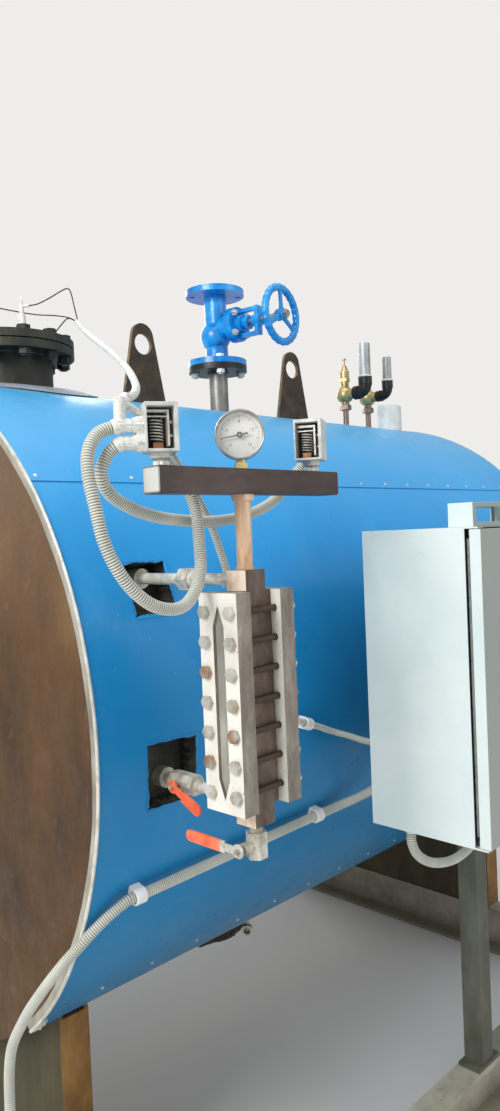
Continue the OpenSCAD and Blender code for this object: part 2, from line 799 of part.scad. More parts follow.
module handwheel() color("#2F8FE0")
  on_stem() translate([0, 0, wheel_reach])
    difference() {
      union() {
        rotate_extrude() translate([wheel_r - wheel_bar_r, 0]) circle(r = wheel_bar_r, $fn = 32);
        cylinder(r = 18, h = wheel_hub_len, center = true);
        ring_of(wheel_spokes, 0, 30) translate([0, -7, -5]) cube([wheel_r - wheel_bar_r, 14, 10]);
      }
      cylinder(r = stem_r + pin_gap, h = 2 * wheel_hub_len, center = true);
    }

module valve_bolt_set() color("#B9B7AE")
  translate([riser_x, 0, valve_z + valve_flange_t])
    ring_of(valve_bolts, valve_pcd / 2, valve_phase) bolt(valve_bolt_r, 2 * valve_flange_t);

safety_nipple_r = 10.65;
safety_base = safety_outlet - 56;
outlet_r = 19;
elbow_y = 48;

module safety_valve(x) {
  translate([x, 0, axis_z]) {
    difference() {
      cylinder(r = safety_nipple_r, h = safety_base);
      translate([-x, 0, -axis_z]) round_body(shell_r + seat);
    }
    translate([0, 0, safety_base - weld]) hexagon(38, 18);
    translate([0, 0, safety_base]) cylinder(r = 15, h = 40);
    translate([0, 0, safety_outlet]) {
      sphere(r = safety_r);
      rotate([90, 0, 0]) cylinder(r = outlet_r, h = elbow_y);
      cylinder(r = 15, h = 62);
      translate([0, 0, 48]) hexagon(34, 12);
      translate([0, 0, 60]) cylinder(r = 18, h = 26);
      translate([0, 0, 86 - weld]) cylinder(r1 = 18, r2 = 8, h = 24);
      translate([0, 0, 100]) cylinder(r = 4, h = 34);
      translate([0, 0, 130]) cylinder(r = 8, h = 5);
    }
  }
}

module safety_valves() color("#B89A4A") {
  safety_valve(safety_front_x);
  safety_valve(safety_rear_x);
}

// An elbow at a safety valve's outlet, with its discharge pipe on top
module discharge(x, top, r) {
  bend = 26;
  run_y = discharge_reach - elbow_y;
  translate([x, -elbow_y, axis_z + safety_outlet]) {
    rotate([90, 0, 0]) cylinder(r = r + 3.8, h = run_y - bend);
    translate([0, bend - run_y, bend])
      rotate([90, 90, -90]) rotate_extrude(angle = 90) translate([bend, 0]) circle(r = r + 1.3);
    translate([0, -run_y, bend - weld]) cylinder(r = r + 3.8, h = 26);
    translate([0, -run_y, bend])
      difference() {
        cylinder(r = r, h = top - safety_outlet - bend);
        translate([0, 0, 20]) cylinder(r = r - 3, h = top);
      }
  }
}

module discharge_pipes() color("#C4C8C6") {
  discharge(safety_front_x, discharge_top, discharge_r);
  discharge(safety_rear_x, discharge_top - discharge_step, discharge_rear_r);
}

module pipe_sleeve() color("#E4EBE8")
  translate([sleeve_x, -sleeve_y, axis_z])
    difference() {
      cylinder(r = sleeve_r, h = top_r - 15 + sleeve_h);
      translate([0, 0, -weld]) cylinder(r = sleeve_r - 4, h = top_r + 200);
      translate([-sleeve_x, sleeve_y, -axis_z]) round_body(top_r + seat);
      translate([-sleeve_r, -sleeve_r, top_r - 15 + sleeve_h])
        rotate([0, 8, 0]) translate([-10, -10, 0]) cube([120, 120, 40]);
    }

// Draws its children at the middle of the level gauge's covers: z points towards the front end
module on_gauge() {
  translate([gauge_x, -gauge_y, axis_z + gauge_mid]) rotate([90, 0, -90]) children();
}

module gauge_body() color("#9A8A72")
  translate([gauge_x, -gauge_y, axis_z]) {
    translate([-cover_gap / 2, -gauge_body_w / 2, cover_low]) cube([cover_gap, gauge_body_w, cover_h]);
    translate([-gauge_body_w / 2, -gauge_body_w / 2, cover_low - gauge_block])
      cube([gauge_body_w, gauge_body_w, cover_h + 2 * gauge_block]);
  }

module gauge_riser() color("#C49A7C")
  translate([gauge_x, -gauge_y, axis_z]) {
    translate([0, 0, gauge_top]) {
      cylinder(r = rise_pipe_r, h = manifold_z - manifold_w / 2 - gauge_top);
      cylinder(r = rise_pipe_r + 2, h = 4);
    }
    translate([0, 0, manifold_z - manifold_w / 2 - 10]) hexagon(34, 10);
  }

module window_outline(grow) {
  w = window_w / 2 + grow;
  h = window_h / 2 + grow;
  polygon([[-w, h - 34], [0, h], [w, h - 34], [w, 34 - h], [0, -h], [-w, 34 - h]]);
}

glass_t = 16;
window_ledge = 5;
glass_recess = 6;

module gauge_covers() color("#E5E2D8")
  on_gauge()
    for (side = [0, 180])
      rotate([0, side, 0])
        translate([0, 0, cover_gap / 2])
          difference() {
            translate([-cover_w / 2, -cover_h / 2, 0]) cube([cover_w, cover_h, cover_t]);
            translate([0, 0, -weld]) linear_extrude(cover_t + 2 * weld) window_outline(0);
            translate([0, 0, -weld]) linear_extrude(glass_t + weld + seat) window_outline(window_ledge);
            cover_holes(bolt_r + 0.5, -weld, cover_t + 2 * weld);
          }

module cover_holes(r, z, h) {
  for (row = [0 : bolt_rows - 1], s = [-1, 1])
    translate([s * bolt_columns / 2, first_row - row * bolt_pitch, z]) cylinder(r = r, h = h, $fn = 32);
}

module gauge_glasses() color([0.55, 0.62, 0.58, 0.6])
  on_gauge()
    for (side = [0, 180])
      rotate([0, side, 0])
        translate([0, 0, cover_gap / 2]) {
          linear_extrude(glass_t) window_outline(window_ledge - seat);
          linear_extrude(cover_t - glass_recess) window_outline(-seat);
        }

module gauge_bolt_set() color("#A59A86")
  on_gauge() {
    reach = cover_gap / 2 + cover_t;
    cover_holes(bolt_r, -reach - 6, 2 * reach + 12);
    for (row = [0 : bolt_rows - 1], s = [-1, 1], side = [0, 180])
      rotate([0, side, 0])
        translate([s * bolt_columns / 2, first_row - row * bolt_pitch, reach]) hexagon(20, 8);
  }

branch_end_y = gauge_y - gauge_body_w / 2;

module upper_branch() color("#C4C0B2")
  translate([gauge_x, 0, axis_z + upper_branch])
    difference() {
      rotate([90, 0, 0]) {
        cylinder(r = pipe_r, h = branch_end_y);
        translate([0, 0, 600]) cylinder(r = 19, h = 70);
        translate([0, 0, 790]) hexagon(38, 26);
        translate([0, 0, 816]) cylinder(r = 15, h = 24);
        translate([0, 0, branch_end_y - 24]) hexagon(28, 24);
      }
      translate([-gauge_x, 0, -axis_z - upper_branch]) round_body(shell_r + seat);
    }

module lower_branch() color("#C4C0B2")
  translate([gauge_x, 0, axis_z + lower_branch])
    difference() {
      rotate([90, 0, 0]) {
        cylinder(r = pipe_r, h = branch_end_y);
        translate([0, 0, 660]) cylinder(r = 19, h = 60);
        translate([0, 0, branch_valve_y - 32]) hexagon(34, 64);
        translate([0, 0, branch_valve_y]) rotate([0, -90, 0]) {
          cylinder(r = 10, h = lever_out - 8);
          cylinder(r = 4, h = lever_out + lever_t + 6);
        }
      }
      translate([-gauge_x, 0, -axis_z - lower_branch]) round_body(shell_r + seat);
    }

// A valve lever from its stem at the origin along +x, in the plane z = 0, with a nut on the stem
module lever(length) {
  difference() {
    union() {
      cylinder(r = 12, h = lever_t);
      translate([0, -7, 0]) cube([34, 14, lever_t]);
      translate([30, -lever_w / 2, -1]) cube([length - 30 - lever_w / 2, lever_w, lever_t + 2]);
      translate([length - lever_w / 2, 0, -1]) cylinder(r = lever_w / 2, h = lever_t + 2);
    }
    translate([0, 0, -2 * weld]) cylinder(r = 4 + pin_gap, h = lever_t + 4 * weld);
  }
}

module branch_lever() color("#F2704A")
  translate([gauge_x - lever_out, -branch_valve_y, axis_z + lower_branch])
    rotate([0, -90, 0]) rotate([0, 0, -90 - branch_lever_drop]) lever(branch_lever_len);

module drain_valve() color("#B8A878")
  translate([gauge_x, -gauge_y, axis_z]) {
    translate([0, 0, drain_z - 24]) cylinder(r = pipe_r, h = cover_low - gauge_block - drain_z + 24);
    translate([0, 0, drain_z - 22]) hexagon(32, 44);
    translate([0, 0, drain_z]) rotate([0, -90, 0]) {
      cylinder(r = 10, h = drain_lever_out - 8);
      cylinder(r = 4, h = drain_lever_out + lever_t + 6);
    }
  }

module drain_lever() color("#F2704A")
  translate([gauge_x - drain_lever_out, -gauge_y, axis_z + drain_z])
    rotate([0, -90, 0]) rotate([0, 0, 90 - drain_lever_rise]) lever(drain_lever_len);

module manifold() color("#5A4A42")
  translate([gauge_x - manifold_left, -gauge_y, axis_z + manifold_z]) {
    length = manifold_left + manifold_right;
    difference() {
      translate([0, -manifold_w / 2, -manifold_w / 2]) cube([length, manifold_w, manifold_w]);
      translate([4, -manifold_w / 2 + manifold_wall, -manifold_w / 2 + manifold_wall])
        cube([length - 8, manifold_w - 2 * manifold_wall, manifold_w - 2 * manifold_wall]);
    }
  }

dial_floor = 2;
pointer_t = 1.5;
pointer_z = dial_floor + 5.5;
lens_t = 2;

// Draws its children at the centre of the pressure gauge, facing the viewer
module on_dial() {
  translate([gauge_x, -gauge_y, dial_z]) facing(dial_turn) children();
}

module pressure_gauge() color("#D8D6CC") {
  on_dial() {
    difference() {
      translate([0, 0, -dial_depth / 2]) cylinder(r = dial_r, h = dial_depth);
      translate([0, 0, dial_floor]) cylinder(r = dial_r - 2.5, h = dial_depth);
    }
    translate([0, 0, dial_floor - weld]) cylinder(r = 2, h = pointer_z + pointer_t + 1 - dial_floor);
  }
  translate([gauge_x, -gauge_y, manifold_top]) {
    cylinder(r = 8, h = dial_rise - dial_r + 3);
    hexagon(19, 10);
  }
}

module gauge_pointer() color("#222222")
  on_dial() translate([0, 0, pointer_z]) rotate([0, 0, 190])
    difference() {
      union() {
        cylinder(r = 5, h = pointer_t);
        linear_extrude(pointer_t) polygon([[-14, -1.4], [-14, 1.4], [31, 0.6], [31, -0.6]]);
      }
      translate([0, 0, -weld]) cylinder(r = 2 + pin_gap, h = pointer_t + 2 * weld);
    }

module gauge_lens() color([0.9, 0.95, 0.95, 0.3])
  on_dial() translate([0, 0, dial_depth / 2 - lens_t]) cylinder(r = dial_r - 2.5, h = lens_t);

// A pressure switch on its bellows, with an open front
module pressure_switch(x, turn) {
  translate([x, -gauge_y, manifold_top]) {
    cylinder(r = 7, h = switch_neck + weld);
    cylinder(r = 12, h = 7);
    translate([0, 0, switch_neck - 9]) cylinder(r = 15, h = 9 + weld);
  }
  in_switch(x, turn)
    difference() {
      translate([-switch_w / 2, -switch_h / 2, -switch_d / 2]) cube([switch_w, switch_h, switch_d]);
      translate([-switch_w / 2 + 3, -switch_h / 2 + 4, -switch_d / 2 + 14])
        cube([switch_w - 9, switch_h - 10, switch_d]);
    }
}

module pressure_switches() color("#D5D8D6") {
  pressure_switch(switch_front_x, switch_front_turn);
  pressure_switch(switch_rear_x, switch_rear_turn);
}

module cabinet() color("#DDEBE8") {
  difference() {
    translate([cabinet_x, body_front_y, cabinet_z]) cube([cabinet_w, cabinet_d, cabinet_h]);
    translate([cabinet_x + cabinet_t, body_front_y - weld, cabinet_z + cabinet_t])
      cube([cabinet_w - 2 * cabinet_t, cabinet_d - cabinet_t + weld, cabinet_h - 2 * cabinet_t]);
  }
  for (z = [cabinet_z, cabinet_z + cabinet_h - bracket_t])
    translate([cabinet_x, hinge_y - 6, z]) cube([20, body_front_y - hinge_y + 6 + weld, bracket_t]);
  translate([hinge_x, hinge_y, cabinet_z]) cylinder(r = hinge_pin_r, h = 14);
  translate([hinge_x, hinge_y, cabinet_z + cabinet_h - 14]) cylinder(r = hinge_pin_r, h = 14);
}

module cabinet_door() color("#E3EEEB")
  difference() {
    translate([cabinet_x, door_front_y, door_low_z]) cube([cabinet_w, door_d, door_high_z - door_low_z]);
    translate([cabinet_x + cabinet_t, door_front_y + cabinet_t, door_low_z + cabinet_t])
      cube([cabinet_w - 2 * cabinet_t, door_d, door_high_z - door_low_z - 2 * cabinet_t]);
    translate([hinge_x, hinge_y, cabinet_z]) cylinder(r = hinge_pin_r + pin_gap, h = cabinet_h);
  }

module cabinet_plate() color("#C8C8C2") {
  back_y = -cabinet_y - cabinet_t;
  translate([cabinet_x + 40, back_y - 20, cabinet_z + 40]) cube([cabinet_w - 80, 2, cabinet_h - 80]);
  for (x = [60, cabinet_w - 60], z = [60, cabinet_h - 60])
    translate([cabinet_x + x, back_y, cabinet_z + z]) rotate([90, 0, 0]) cylinder(r = 6, h = 19);
  for (z = [180, 380])
    translate([cabinet_x + 100, back_y - 27.5, cabinet_z + z]) cube([cabinet_w - 200, 7.5 + weld, 35]);
  for (i = [0 : 7])
    translate([cabinet_x + 130 + 60 * i, back_y - 90, cabinet_z + 355]) cube([45, 62.5 + weld, 85]);
}

module cabinet_stand() color("#8A8778") {
  post_x = cabinet_x + post_in;
  translate([post_x, -cabinet_y + 8, channel_h]) cube([post_w, post_w, cabinet_z + 555 - channel_h]);
  translate([post_x - 25, -cabinet_y + 4, channel_h]) cube([post_w + 50, channel_b - 8, 8]);
  for (z = [65, 495])
    translate([cabinet_x + 35, -cabinet_y, cabinet_z + z]) cube([cabinet_w - 70, 8, 40]);
}

module cabinet_hood() color("#E6EDEA")
  translate([cabinet_x + hood_in.x, body_front_y + hood_in.y, cabinet_z + cabinet_h])
    difference() {
      cube(hood);
      translate([3, 3, 3]) cube([hood.x - 6, hood.y - 6, hood.z - 6]);
      translate([14, -weld, 9]) cube([hood.x - 28, hood.y + 2 * weld, hood.z - 18]);
    }

// A plastic clamp that holds a conduit off the cladding
module clamp(place, r) {
  on_cladding(place[0], place[1]) rotate([0, 0, place[2]])
    difference() {
      union() {
        translate([-11, -13, seat]) cube([22, 26, clamp_rise]);
        translate([-11, 0, clamp_rise]) rotate([0, 90, 0]) cylinder(r = r + 5, h = 22);
      }
      translate([-12, 0, clamp_rise]) rotate([0, 90, 0]) cylinder(r = r + clamp_play, h = 24);
    }
}

module conduit_clamps() color("#F2F2EE") {
  clamp(clamp_front, conduit_r);
  clamp(clamp_rear, conduit_r);
  clamp(clamp_upper, thin_r);
}

// Draws its children in the middle of a pressure switch, looking out of its open front
module in_switch(x, turn) {
  translate([x, -gauge_y, switch_mid_z]) facing(turn) children();
}

// The glands of the conduits on the switches, the cabinet and the front cross member, and a taped joint
module conduit_glands() color("#8C8C86") {
  in_switch(switch_front_x, switch_front_turn) {
    for (y = [4, -22]) translate([-switch_w / 2, y, 3]) rotate([0, -90, 0]) gland(conduit_r);
    translate([3, -11, -switch_d / 2]) rotate([180, 0, 0]) gland(conduit_r);
    translate([5, 15, -switch_d / 2]) rotate([180, 0, 0]) gland(thin_r);
  }
  in_switch(switch_rear_x, switch_rear_turn)
    translate([0, -5, -switch_d / 2]) rotate([180, 0, 0]) gland(conduit_r);
  translate([run[0].x, -cabinet_y, run[0].z]) rotate([-90, 0, 0]) gland(conduit_r);
  translate([drop[len(drop) - 1].x, -cabinet_y, drop[len(drop) - 1].z]) rotate([-90, 0, 0]) gland(thin_r);
  for (p = [under[0], under[len(under) - 1]])
    translate([p.x, p.y, cabinet_z]) rotate([180, 0, 0]) gland(conduit_r);
  translate([-channel_b / 2, run[len(run) - 1].y, run[len(run) - 1].z]) rotate([0, -90, 0]) gland(conduit_r);
  translate([loop_a[1].x + 2, loop_a[1].y + 2, loop_a[1].z + conduit_r + seat]) cylinder(r = 9, h = 32);
}

module conduit_loops() color("#D8D4C4") {
  swept(loop_a, conduit_r);
  swept(loop_b, conduit_r);
  swept(under, conduit_r);
}

module conduit_runs() color("#D8D4C4") {
  swept(drop, thin_r);
  swept(run, conduit_r);
}

module probe_lead() color("#E4E2D6") swept(lead, thin_r);

shell();
front_plate();
rear_plate();
insulation();
cladding_near();
cladding_far();
cladding_top();
end_trims();
furnace_cover();
flue_stub();
crossmembers();
skid_beams();
saddles();
lifting_lugs();
probe_nozzle();
probe_cover();
nozzle_bolt_set();
level_probes();
level_wires();
steam_riser();
valve_body();
valve_bonnet();
valve_stem();
handwheel();
valve_bolt_set();
safety_valves();
discharge_pipes();
pipe_sleeve();
gauge_body();
gauge_riser();
gauge_covers();
gauge_glasses();
gauge_bolt_set();
upper_branch();
lower_branch();
branch_lever();
drain_valve();
drain_lever();
manifold();
pressure_gauge();
gauge_pointer();
gauge_lens();
pressure_switches();
cabinet();
cabinet_door();
cabinet_plate();
cabinet_stand();
cabinet_hood();
conduit_clamps();
conduit_glands();
conduit_loops();
conduit_runs();
probe_lead();
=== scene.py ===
"""Camera, light, finishes and fine detail of a horizontal shell boiler on a skid."""
import json
import math
import random
from functools import cache

import bmesh
import bpy
from bpy.props import (
    FloatProperty, FloatVectorProperty, IntProperty, PointerProperty)
from mathutils import Matrix, Vector


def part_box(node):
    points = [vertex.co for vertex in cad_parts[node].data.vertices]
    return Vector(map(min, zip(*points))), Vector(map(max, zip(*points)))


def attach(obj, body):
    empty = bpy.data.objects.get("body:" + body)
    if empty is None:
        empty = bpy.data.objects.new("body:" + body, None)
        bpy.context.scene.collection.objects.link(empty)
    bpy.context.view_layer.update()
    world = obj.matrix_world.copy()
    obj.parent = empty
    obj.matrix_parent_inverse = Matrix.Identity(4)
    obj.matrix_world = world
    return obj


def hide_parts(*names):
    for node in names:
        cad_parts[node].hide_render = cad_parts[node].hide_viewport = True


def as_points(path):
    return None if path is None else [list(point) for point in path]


bl_info = {
    "name": "Skid Boiler Dresser",
    "version": (1, 0, 0),
    "blender": (4, 5, 0),
    "location": "3D View > Sidebar > Boiler",
    "description": "Dresses a shell boiler with sheet trim, conduits and finishes",
    "category": "Object",
}

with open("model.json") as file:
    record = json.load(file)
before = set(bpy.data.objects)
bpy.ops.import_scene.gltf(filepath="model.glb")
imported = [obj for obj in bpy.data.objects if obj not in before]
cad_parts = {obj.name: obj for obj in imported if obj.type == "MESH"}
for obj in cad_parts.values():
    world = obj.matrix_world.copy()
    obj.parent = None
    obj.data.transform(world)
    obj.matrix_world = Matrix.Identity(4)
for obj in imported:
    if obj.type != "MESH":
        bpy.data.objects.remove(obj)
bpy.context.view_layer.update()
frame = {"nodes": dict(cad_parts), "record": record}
NODES = frame["nodes"]
MM = 0.001
BODY_OF = {node: body for body, nodes in frame["record"]["behaviour"]["bodies"].items()
           for node in nodes}
X, Y, Z = range(3)

# The camera that the photograph was matched with, in metres
CAMERA_AT = (-0.8876, -1.9121, 1.4851)
CAMERA_TURN = ((0.70286, 0.04633, -0.70982), (-0.71010, -0.01314, -0.70398),
               (-0.04194, 0.99884, 0.02366))

# Sizes of the CAD's own parts, in millimetres
AXIS_Z = 1120.0             # height of the boiler's axis
CLAD_R = 750.0              # outside of the side sheets
TOP_R = 752.2               # outside of the top sheet, which laps over them
FRONT_X, REAR_X = -100, 1800
LOW_ANGLE = -50             # where the end trims begin, as on_shell() takes it
NOZZLE_X, RISER_X = 196, 930
SWITCH_Y = -948             # plane of the pressure gauge and the switches
SWITCHES = ((-98, 29), (251, 60))       # each switch's x and turn in degrees
SWITCH_Z = 1652.5
DIAL_AT = (72, SWITCH_Y, 1652)
STEM_Z, STEM_TURN = 2147, 8             # height and turn of the stop valve's stem
PROBES = ((211, -45), (136, 15))        # the two tall probes' x and y
PROBE_SEAT = 2005
OUTLETS = ((1584, 25.4), (1724, 21.0))  # each discharge pipe's x and radius
OUTLET_Y = -95
MEMBER_TOP, MEMBER_END = 160, 829       # of the skid's cross members

# The flashing round the probe nozzle: its middle along x and its half sizes
FLASH_X, FLASH_LONG, FLASH_WIDE = 243, 164, 205
# The sheet's openings: middle along x and above the axis, width and height
OPENINGS = ((70, 275, 100, 100), (64, -60, 118, 120))
SCREW_SPIN = 6.283          # how far a screw may be turned by chance, in radians

# Routes of the flexible conduits, in millimetres
LOOP_A = [
    (-134, -931, 1656), (-151, -922, 1656), (-182, -912, 1645), (-203, -915, 1620),
    (-211, -922, 1585), (-208, -932, 1535), (-200, -940, 1481), (-177, -950, 1430),
    (-142, -955, 1395), (-100, -952, 1380), (-60, -944, 1382), (-28, -934, 1402),
    (-4, -922, 1435), (8, -908, 1480), (18, -892, 1530), (14, -872, 1575),
    (-4, -860, 1608), (-28, -862, 1628), (-58, -884, 1640), (-74, -912, 1642)]
LOOP_B = [
    (-134, -931, 1630), (-151, -922, 1629), (-168, -911, 1614), (-176, -905, 1585),
    (-160, -900, 1558), (-115, -892, 1536), (-60, -880, 1523), (-5, -870, 1517),
    (45, -864, 1514), (95, -862, 1514), (150, -862, 1520), (205, -862, 1534),
    (255, -858, 1556), (295, -852, 1586), (322, -866, 1618), (326, -893, 1640),
    (306, -916, 1648), (288, -926, 1648)]
DROP = [
    (-73, -915, 1668), (-66, -901, 1668), (-48, -880, 1664), (-20, -860, 1655),
    (10, -846, 1630), (40, -843, 1590), (70, -843, 1550), (100, -842, 1500),
    (132, -838, 1430), (165, -832, 1360), (205, -826, 1280), (255, -812, 1200),
    (320, -790, 1130), (382, -772, 1097), (401, -767, 1089), (435, -767, 1076),
    (452, -767, 1070), (490, -774, 1053), (514, -800, 1042), (520, -840, 1035),
    (520, -880, 1035)]
RUN = [
    (640, -880, 930), (640, -855, 930), (635, -800, 905), (610, -750, 874),
    (560, -726, 860), (515, -722, 857), (490, -722, 857), (460, -722, 857),
    (320, -720, 853), (160, -719, 849), (22, -717, 845), (-24, -717, 845),
    (-40, -714, 839), (-72, -705, 821), (-108, -690, 790), (-132, -655, 745),
    (-146, -600, 680), (-152, -552, 620), (-157, -505, 540), (-155, -487, 420),
    (-151, -485, 330), (-140, -485, 250), (-118, -485, 180), (-92, -485, 135),
    (-68, -485, 110), (-48, -485, 110)]
UNDER = [
    (505, -960, 870), (505, -960, 850), (522, -960, 819), (565, -960, 789),
    (620, -960, 770), (675, -960, 763), (730, -960, 770), (785, -960, 789),
    (828, -960, 819), (845, -960, 850), (845, -960, 870)]
LEAD = [
    (325, -120, 2053), (303, -185, 2013), (271, -273, 1969), (240, -349, 1935),
    (211, -418, 1904), (161, -514, 1863), (113, -600, 1826), (60, -684, 1790),
    (9, -758, 1759), (-39, -820, 1736), (-77, -862, 1718), (-106, -888, 1707),
    (-126, -902.5, 1701), (-137, -913, 1691.5)]
WIRES = {
    "wire_tall_probe": [
        (223, -59, 2091), (242, -70, 2096), (268, -88, 2112), (294, -104, 2131),
        (309, -111, 2137), (315, -114, 2124), (321, -117, 2090), (328, -118, 2059)],
    "wire_low_probe": [
        (266, -56, 2020), (282, -75, 2026), (294, -94, 2046), (307, -106, 2062),
        (322, -116, 2057)],
    "wire_rear_probe": [
        (148, 1, 2091), (198, 5, 2091), (270, -7, 2088), (300, -60, 2078),
        (316, -98, 2067), (325, -113, 2057)],
}


# ---------------------------------------------------------------- colours and nodes
def linear(code):
    """An sRGB hex colour as the linear one that a shader takes."""
    parts = [int(code[i:i + 2], 16) / 255 for i in (1, 3, 5)]
    return [c / 12.92 if c <= 0.04045 else ((c + 0.055) / 1.055) ** 2.4
            for c in parts] + [1.0]


def add(tree, kind, links=None, **settings):
    """Adds a node, sets its inputs (by name or number) and attributes."""
    made = tree.nodes.new(kind)
    for key, value in settings.items():
        setattr(made, key, value)
    for key, value in (links or {}).items():
        socket = made.inputs[key]
        if isinstance(value, bpy.types.NodeSocket):
            tree.links.new(value, socket)
        else:
            socket.default_value = value
    return made


def ramp(tree, factor, stops):
    """A colour ramp from a dictionary of positions and hex colours."""
    made = add(tree, "ShaderNodeValToRGB", {"Fac": factor})
    elements = made.color_ramp.elements
    while len(elements) < len(stops):
        elements.new(0.5)
    for element, (place, code) in zip(elements, stops.items()):
        element.position = place
        element.color = linear(code)
    return made.outputs["Color"]


def noise(tree, scale, detail=4.0, rough=0.55, stretch=(1, 1, 1)):
    """Noise on object coordinates: scale is in features per metre."""
    where = add(tree, "ShaderNodeTexCoord")
    mapped = add(tree, "ShaderNodeMapping", {
        "Vector": where.outputs["Object"], "Scale": stretch})
    made = add(tree, "ShaderNodeTexNoise", {
        "Vector": mapped.outputs["Vector"], "Scale": scale, "Detail": detail,
        "Roughness": rough})
    return made.outputs["Fac"]


def band(tree, value, low, high, out=(0.0, 1.0)):
    """Maps a value from low..high to out, clamped."""
    made = add(tree, "ShaderNodeMapRange", {
        "Value": value, "From Min": low, "From Max": high,
        "To Min": out[0], "To Max": out[1]})
    return made.outputs["Result"]


def mix(tree, factor, first, second):
    """The first colour at 0, the second at 1."""
    made = add(tree, "ShaderNodeMix", {"Factor": factor, 6: first, 7: second},
               data_type="RGBA")
    return made.outputs[2]


def maths(tree, kind, first, second=0.0):
    """One sum on two values."""
    return add(tree, "ShaderNodeMath", {0: first, 1: second}, operation=kind).outputs[0]


# ---------------------------------------------------------------- finishes
# A colour or a mask is a function of the node tree that gives a socket. A grain is what
# noise() takes after the tree: features per metre, detail, roughness and stretch.
def speckled(grain, stops):
    """A colour from a ramp over noise."""
    return lambda tree: ramp(tree, noise(tree, *grain), stops)


def drifting(grain, first, second):
    """A colour that drifts between two with soft noise."""
    return lambda tree: mix(tree, band(tree, noise(tree, *grain), 0.35, 0.7),
                            linear(first), linear(second))


def stained(under, *stains):
    """A colour with others over it, each as (grain, low, high, share, hex)."""
    def color(tree):
        tone = under(tree)
        for grain, low, high, share, code in stains:
            spots = band(tree, noise(tree, *grain), low, high, (0, share))
            tone = mix(tree, spots, tone, linear(code))
        return tone
    return color


def parted(mask, first, second):
    """The first colour where the mask is 0, the second where it is 1.

    Either colour is hex or a function, and the mask may be a plain number.
    """
    return lambda tree: mix(tree, mask(tree) if callable(mask) else mask, *(
        linear(each) if isinstance(each, str) else each(tree) for each in (first, second)))


def across(axis, low, high, out=(0.0, 1.0)):
    """A mask along one axis of the object's own coordinates, in metres."""
    def mask(tree):
        where = add(tree, "ShaderNodeTexCoord")
        split = add(tree, "ShaderNodeSeparateXYZ", {"Vector": where.outputs["Object"]})
        return band(tree, split.outputs[axis], low, high, out)
    return mask


def facing(axis, low=0.5, high=0.75):
    """A mask that is 1 on faces that look along one axis, 0 on faces that look along another."""
    def mask(tree):
        shape = add(tree, "ShaderNodeNewGeometry")
        split = add(tree, "ShaderNodeSeparateXYZ", {"Vector": shape.outputs["True Normal"]})
        return band(tree, maths(tree, "ABSOLUTE", split.outputs[axis]), low, high)
    return mask


def product(*masks):
    """A mask that is 1 where all the masks are."""
    def mask(tree):
        value = masks[0](tree)
        for other in masks[1:]:
            value = maths(tree, "MULTIPLY", value, other(tree))
        return value
    return mask


def in_groove(tree):
    """A mask of the conduit's grooves, from the mesh's own attribute."""
    groove = add(tree, "ShaderNodeAttribute", attribute_name="groove")
    return band(tree, groove.outputs["Fac"], 0.2, 0.9, (0, 0.66))


def tube_ends(tree):
    """A mask of the faces at both ends of a tube along x, at most 0.85, for a painted highlight.
    """
    return band(tree, facing(X, 0.9, 0.97)(tree), 0, 1, (0, 0.85))


BRIGHT_STEEL = speckled((60, 5), {0.3: "#8E8C86", 0.6: "#C8C6C0", 0.8: "#E2E0DA"})
POWDER = stained(drifting((6, 5), "#D6E4E1", "#E2ECE9"),
                 ((22, 9, 0.78), 0.62, 0.76, 0.35, "#A7A898"))

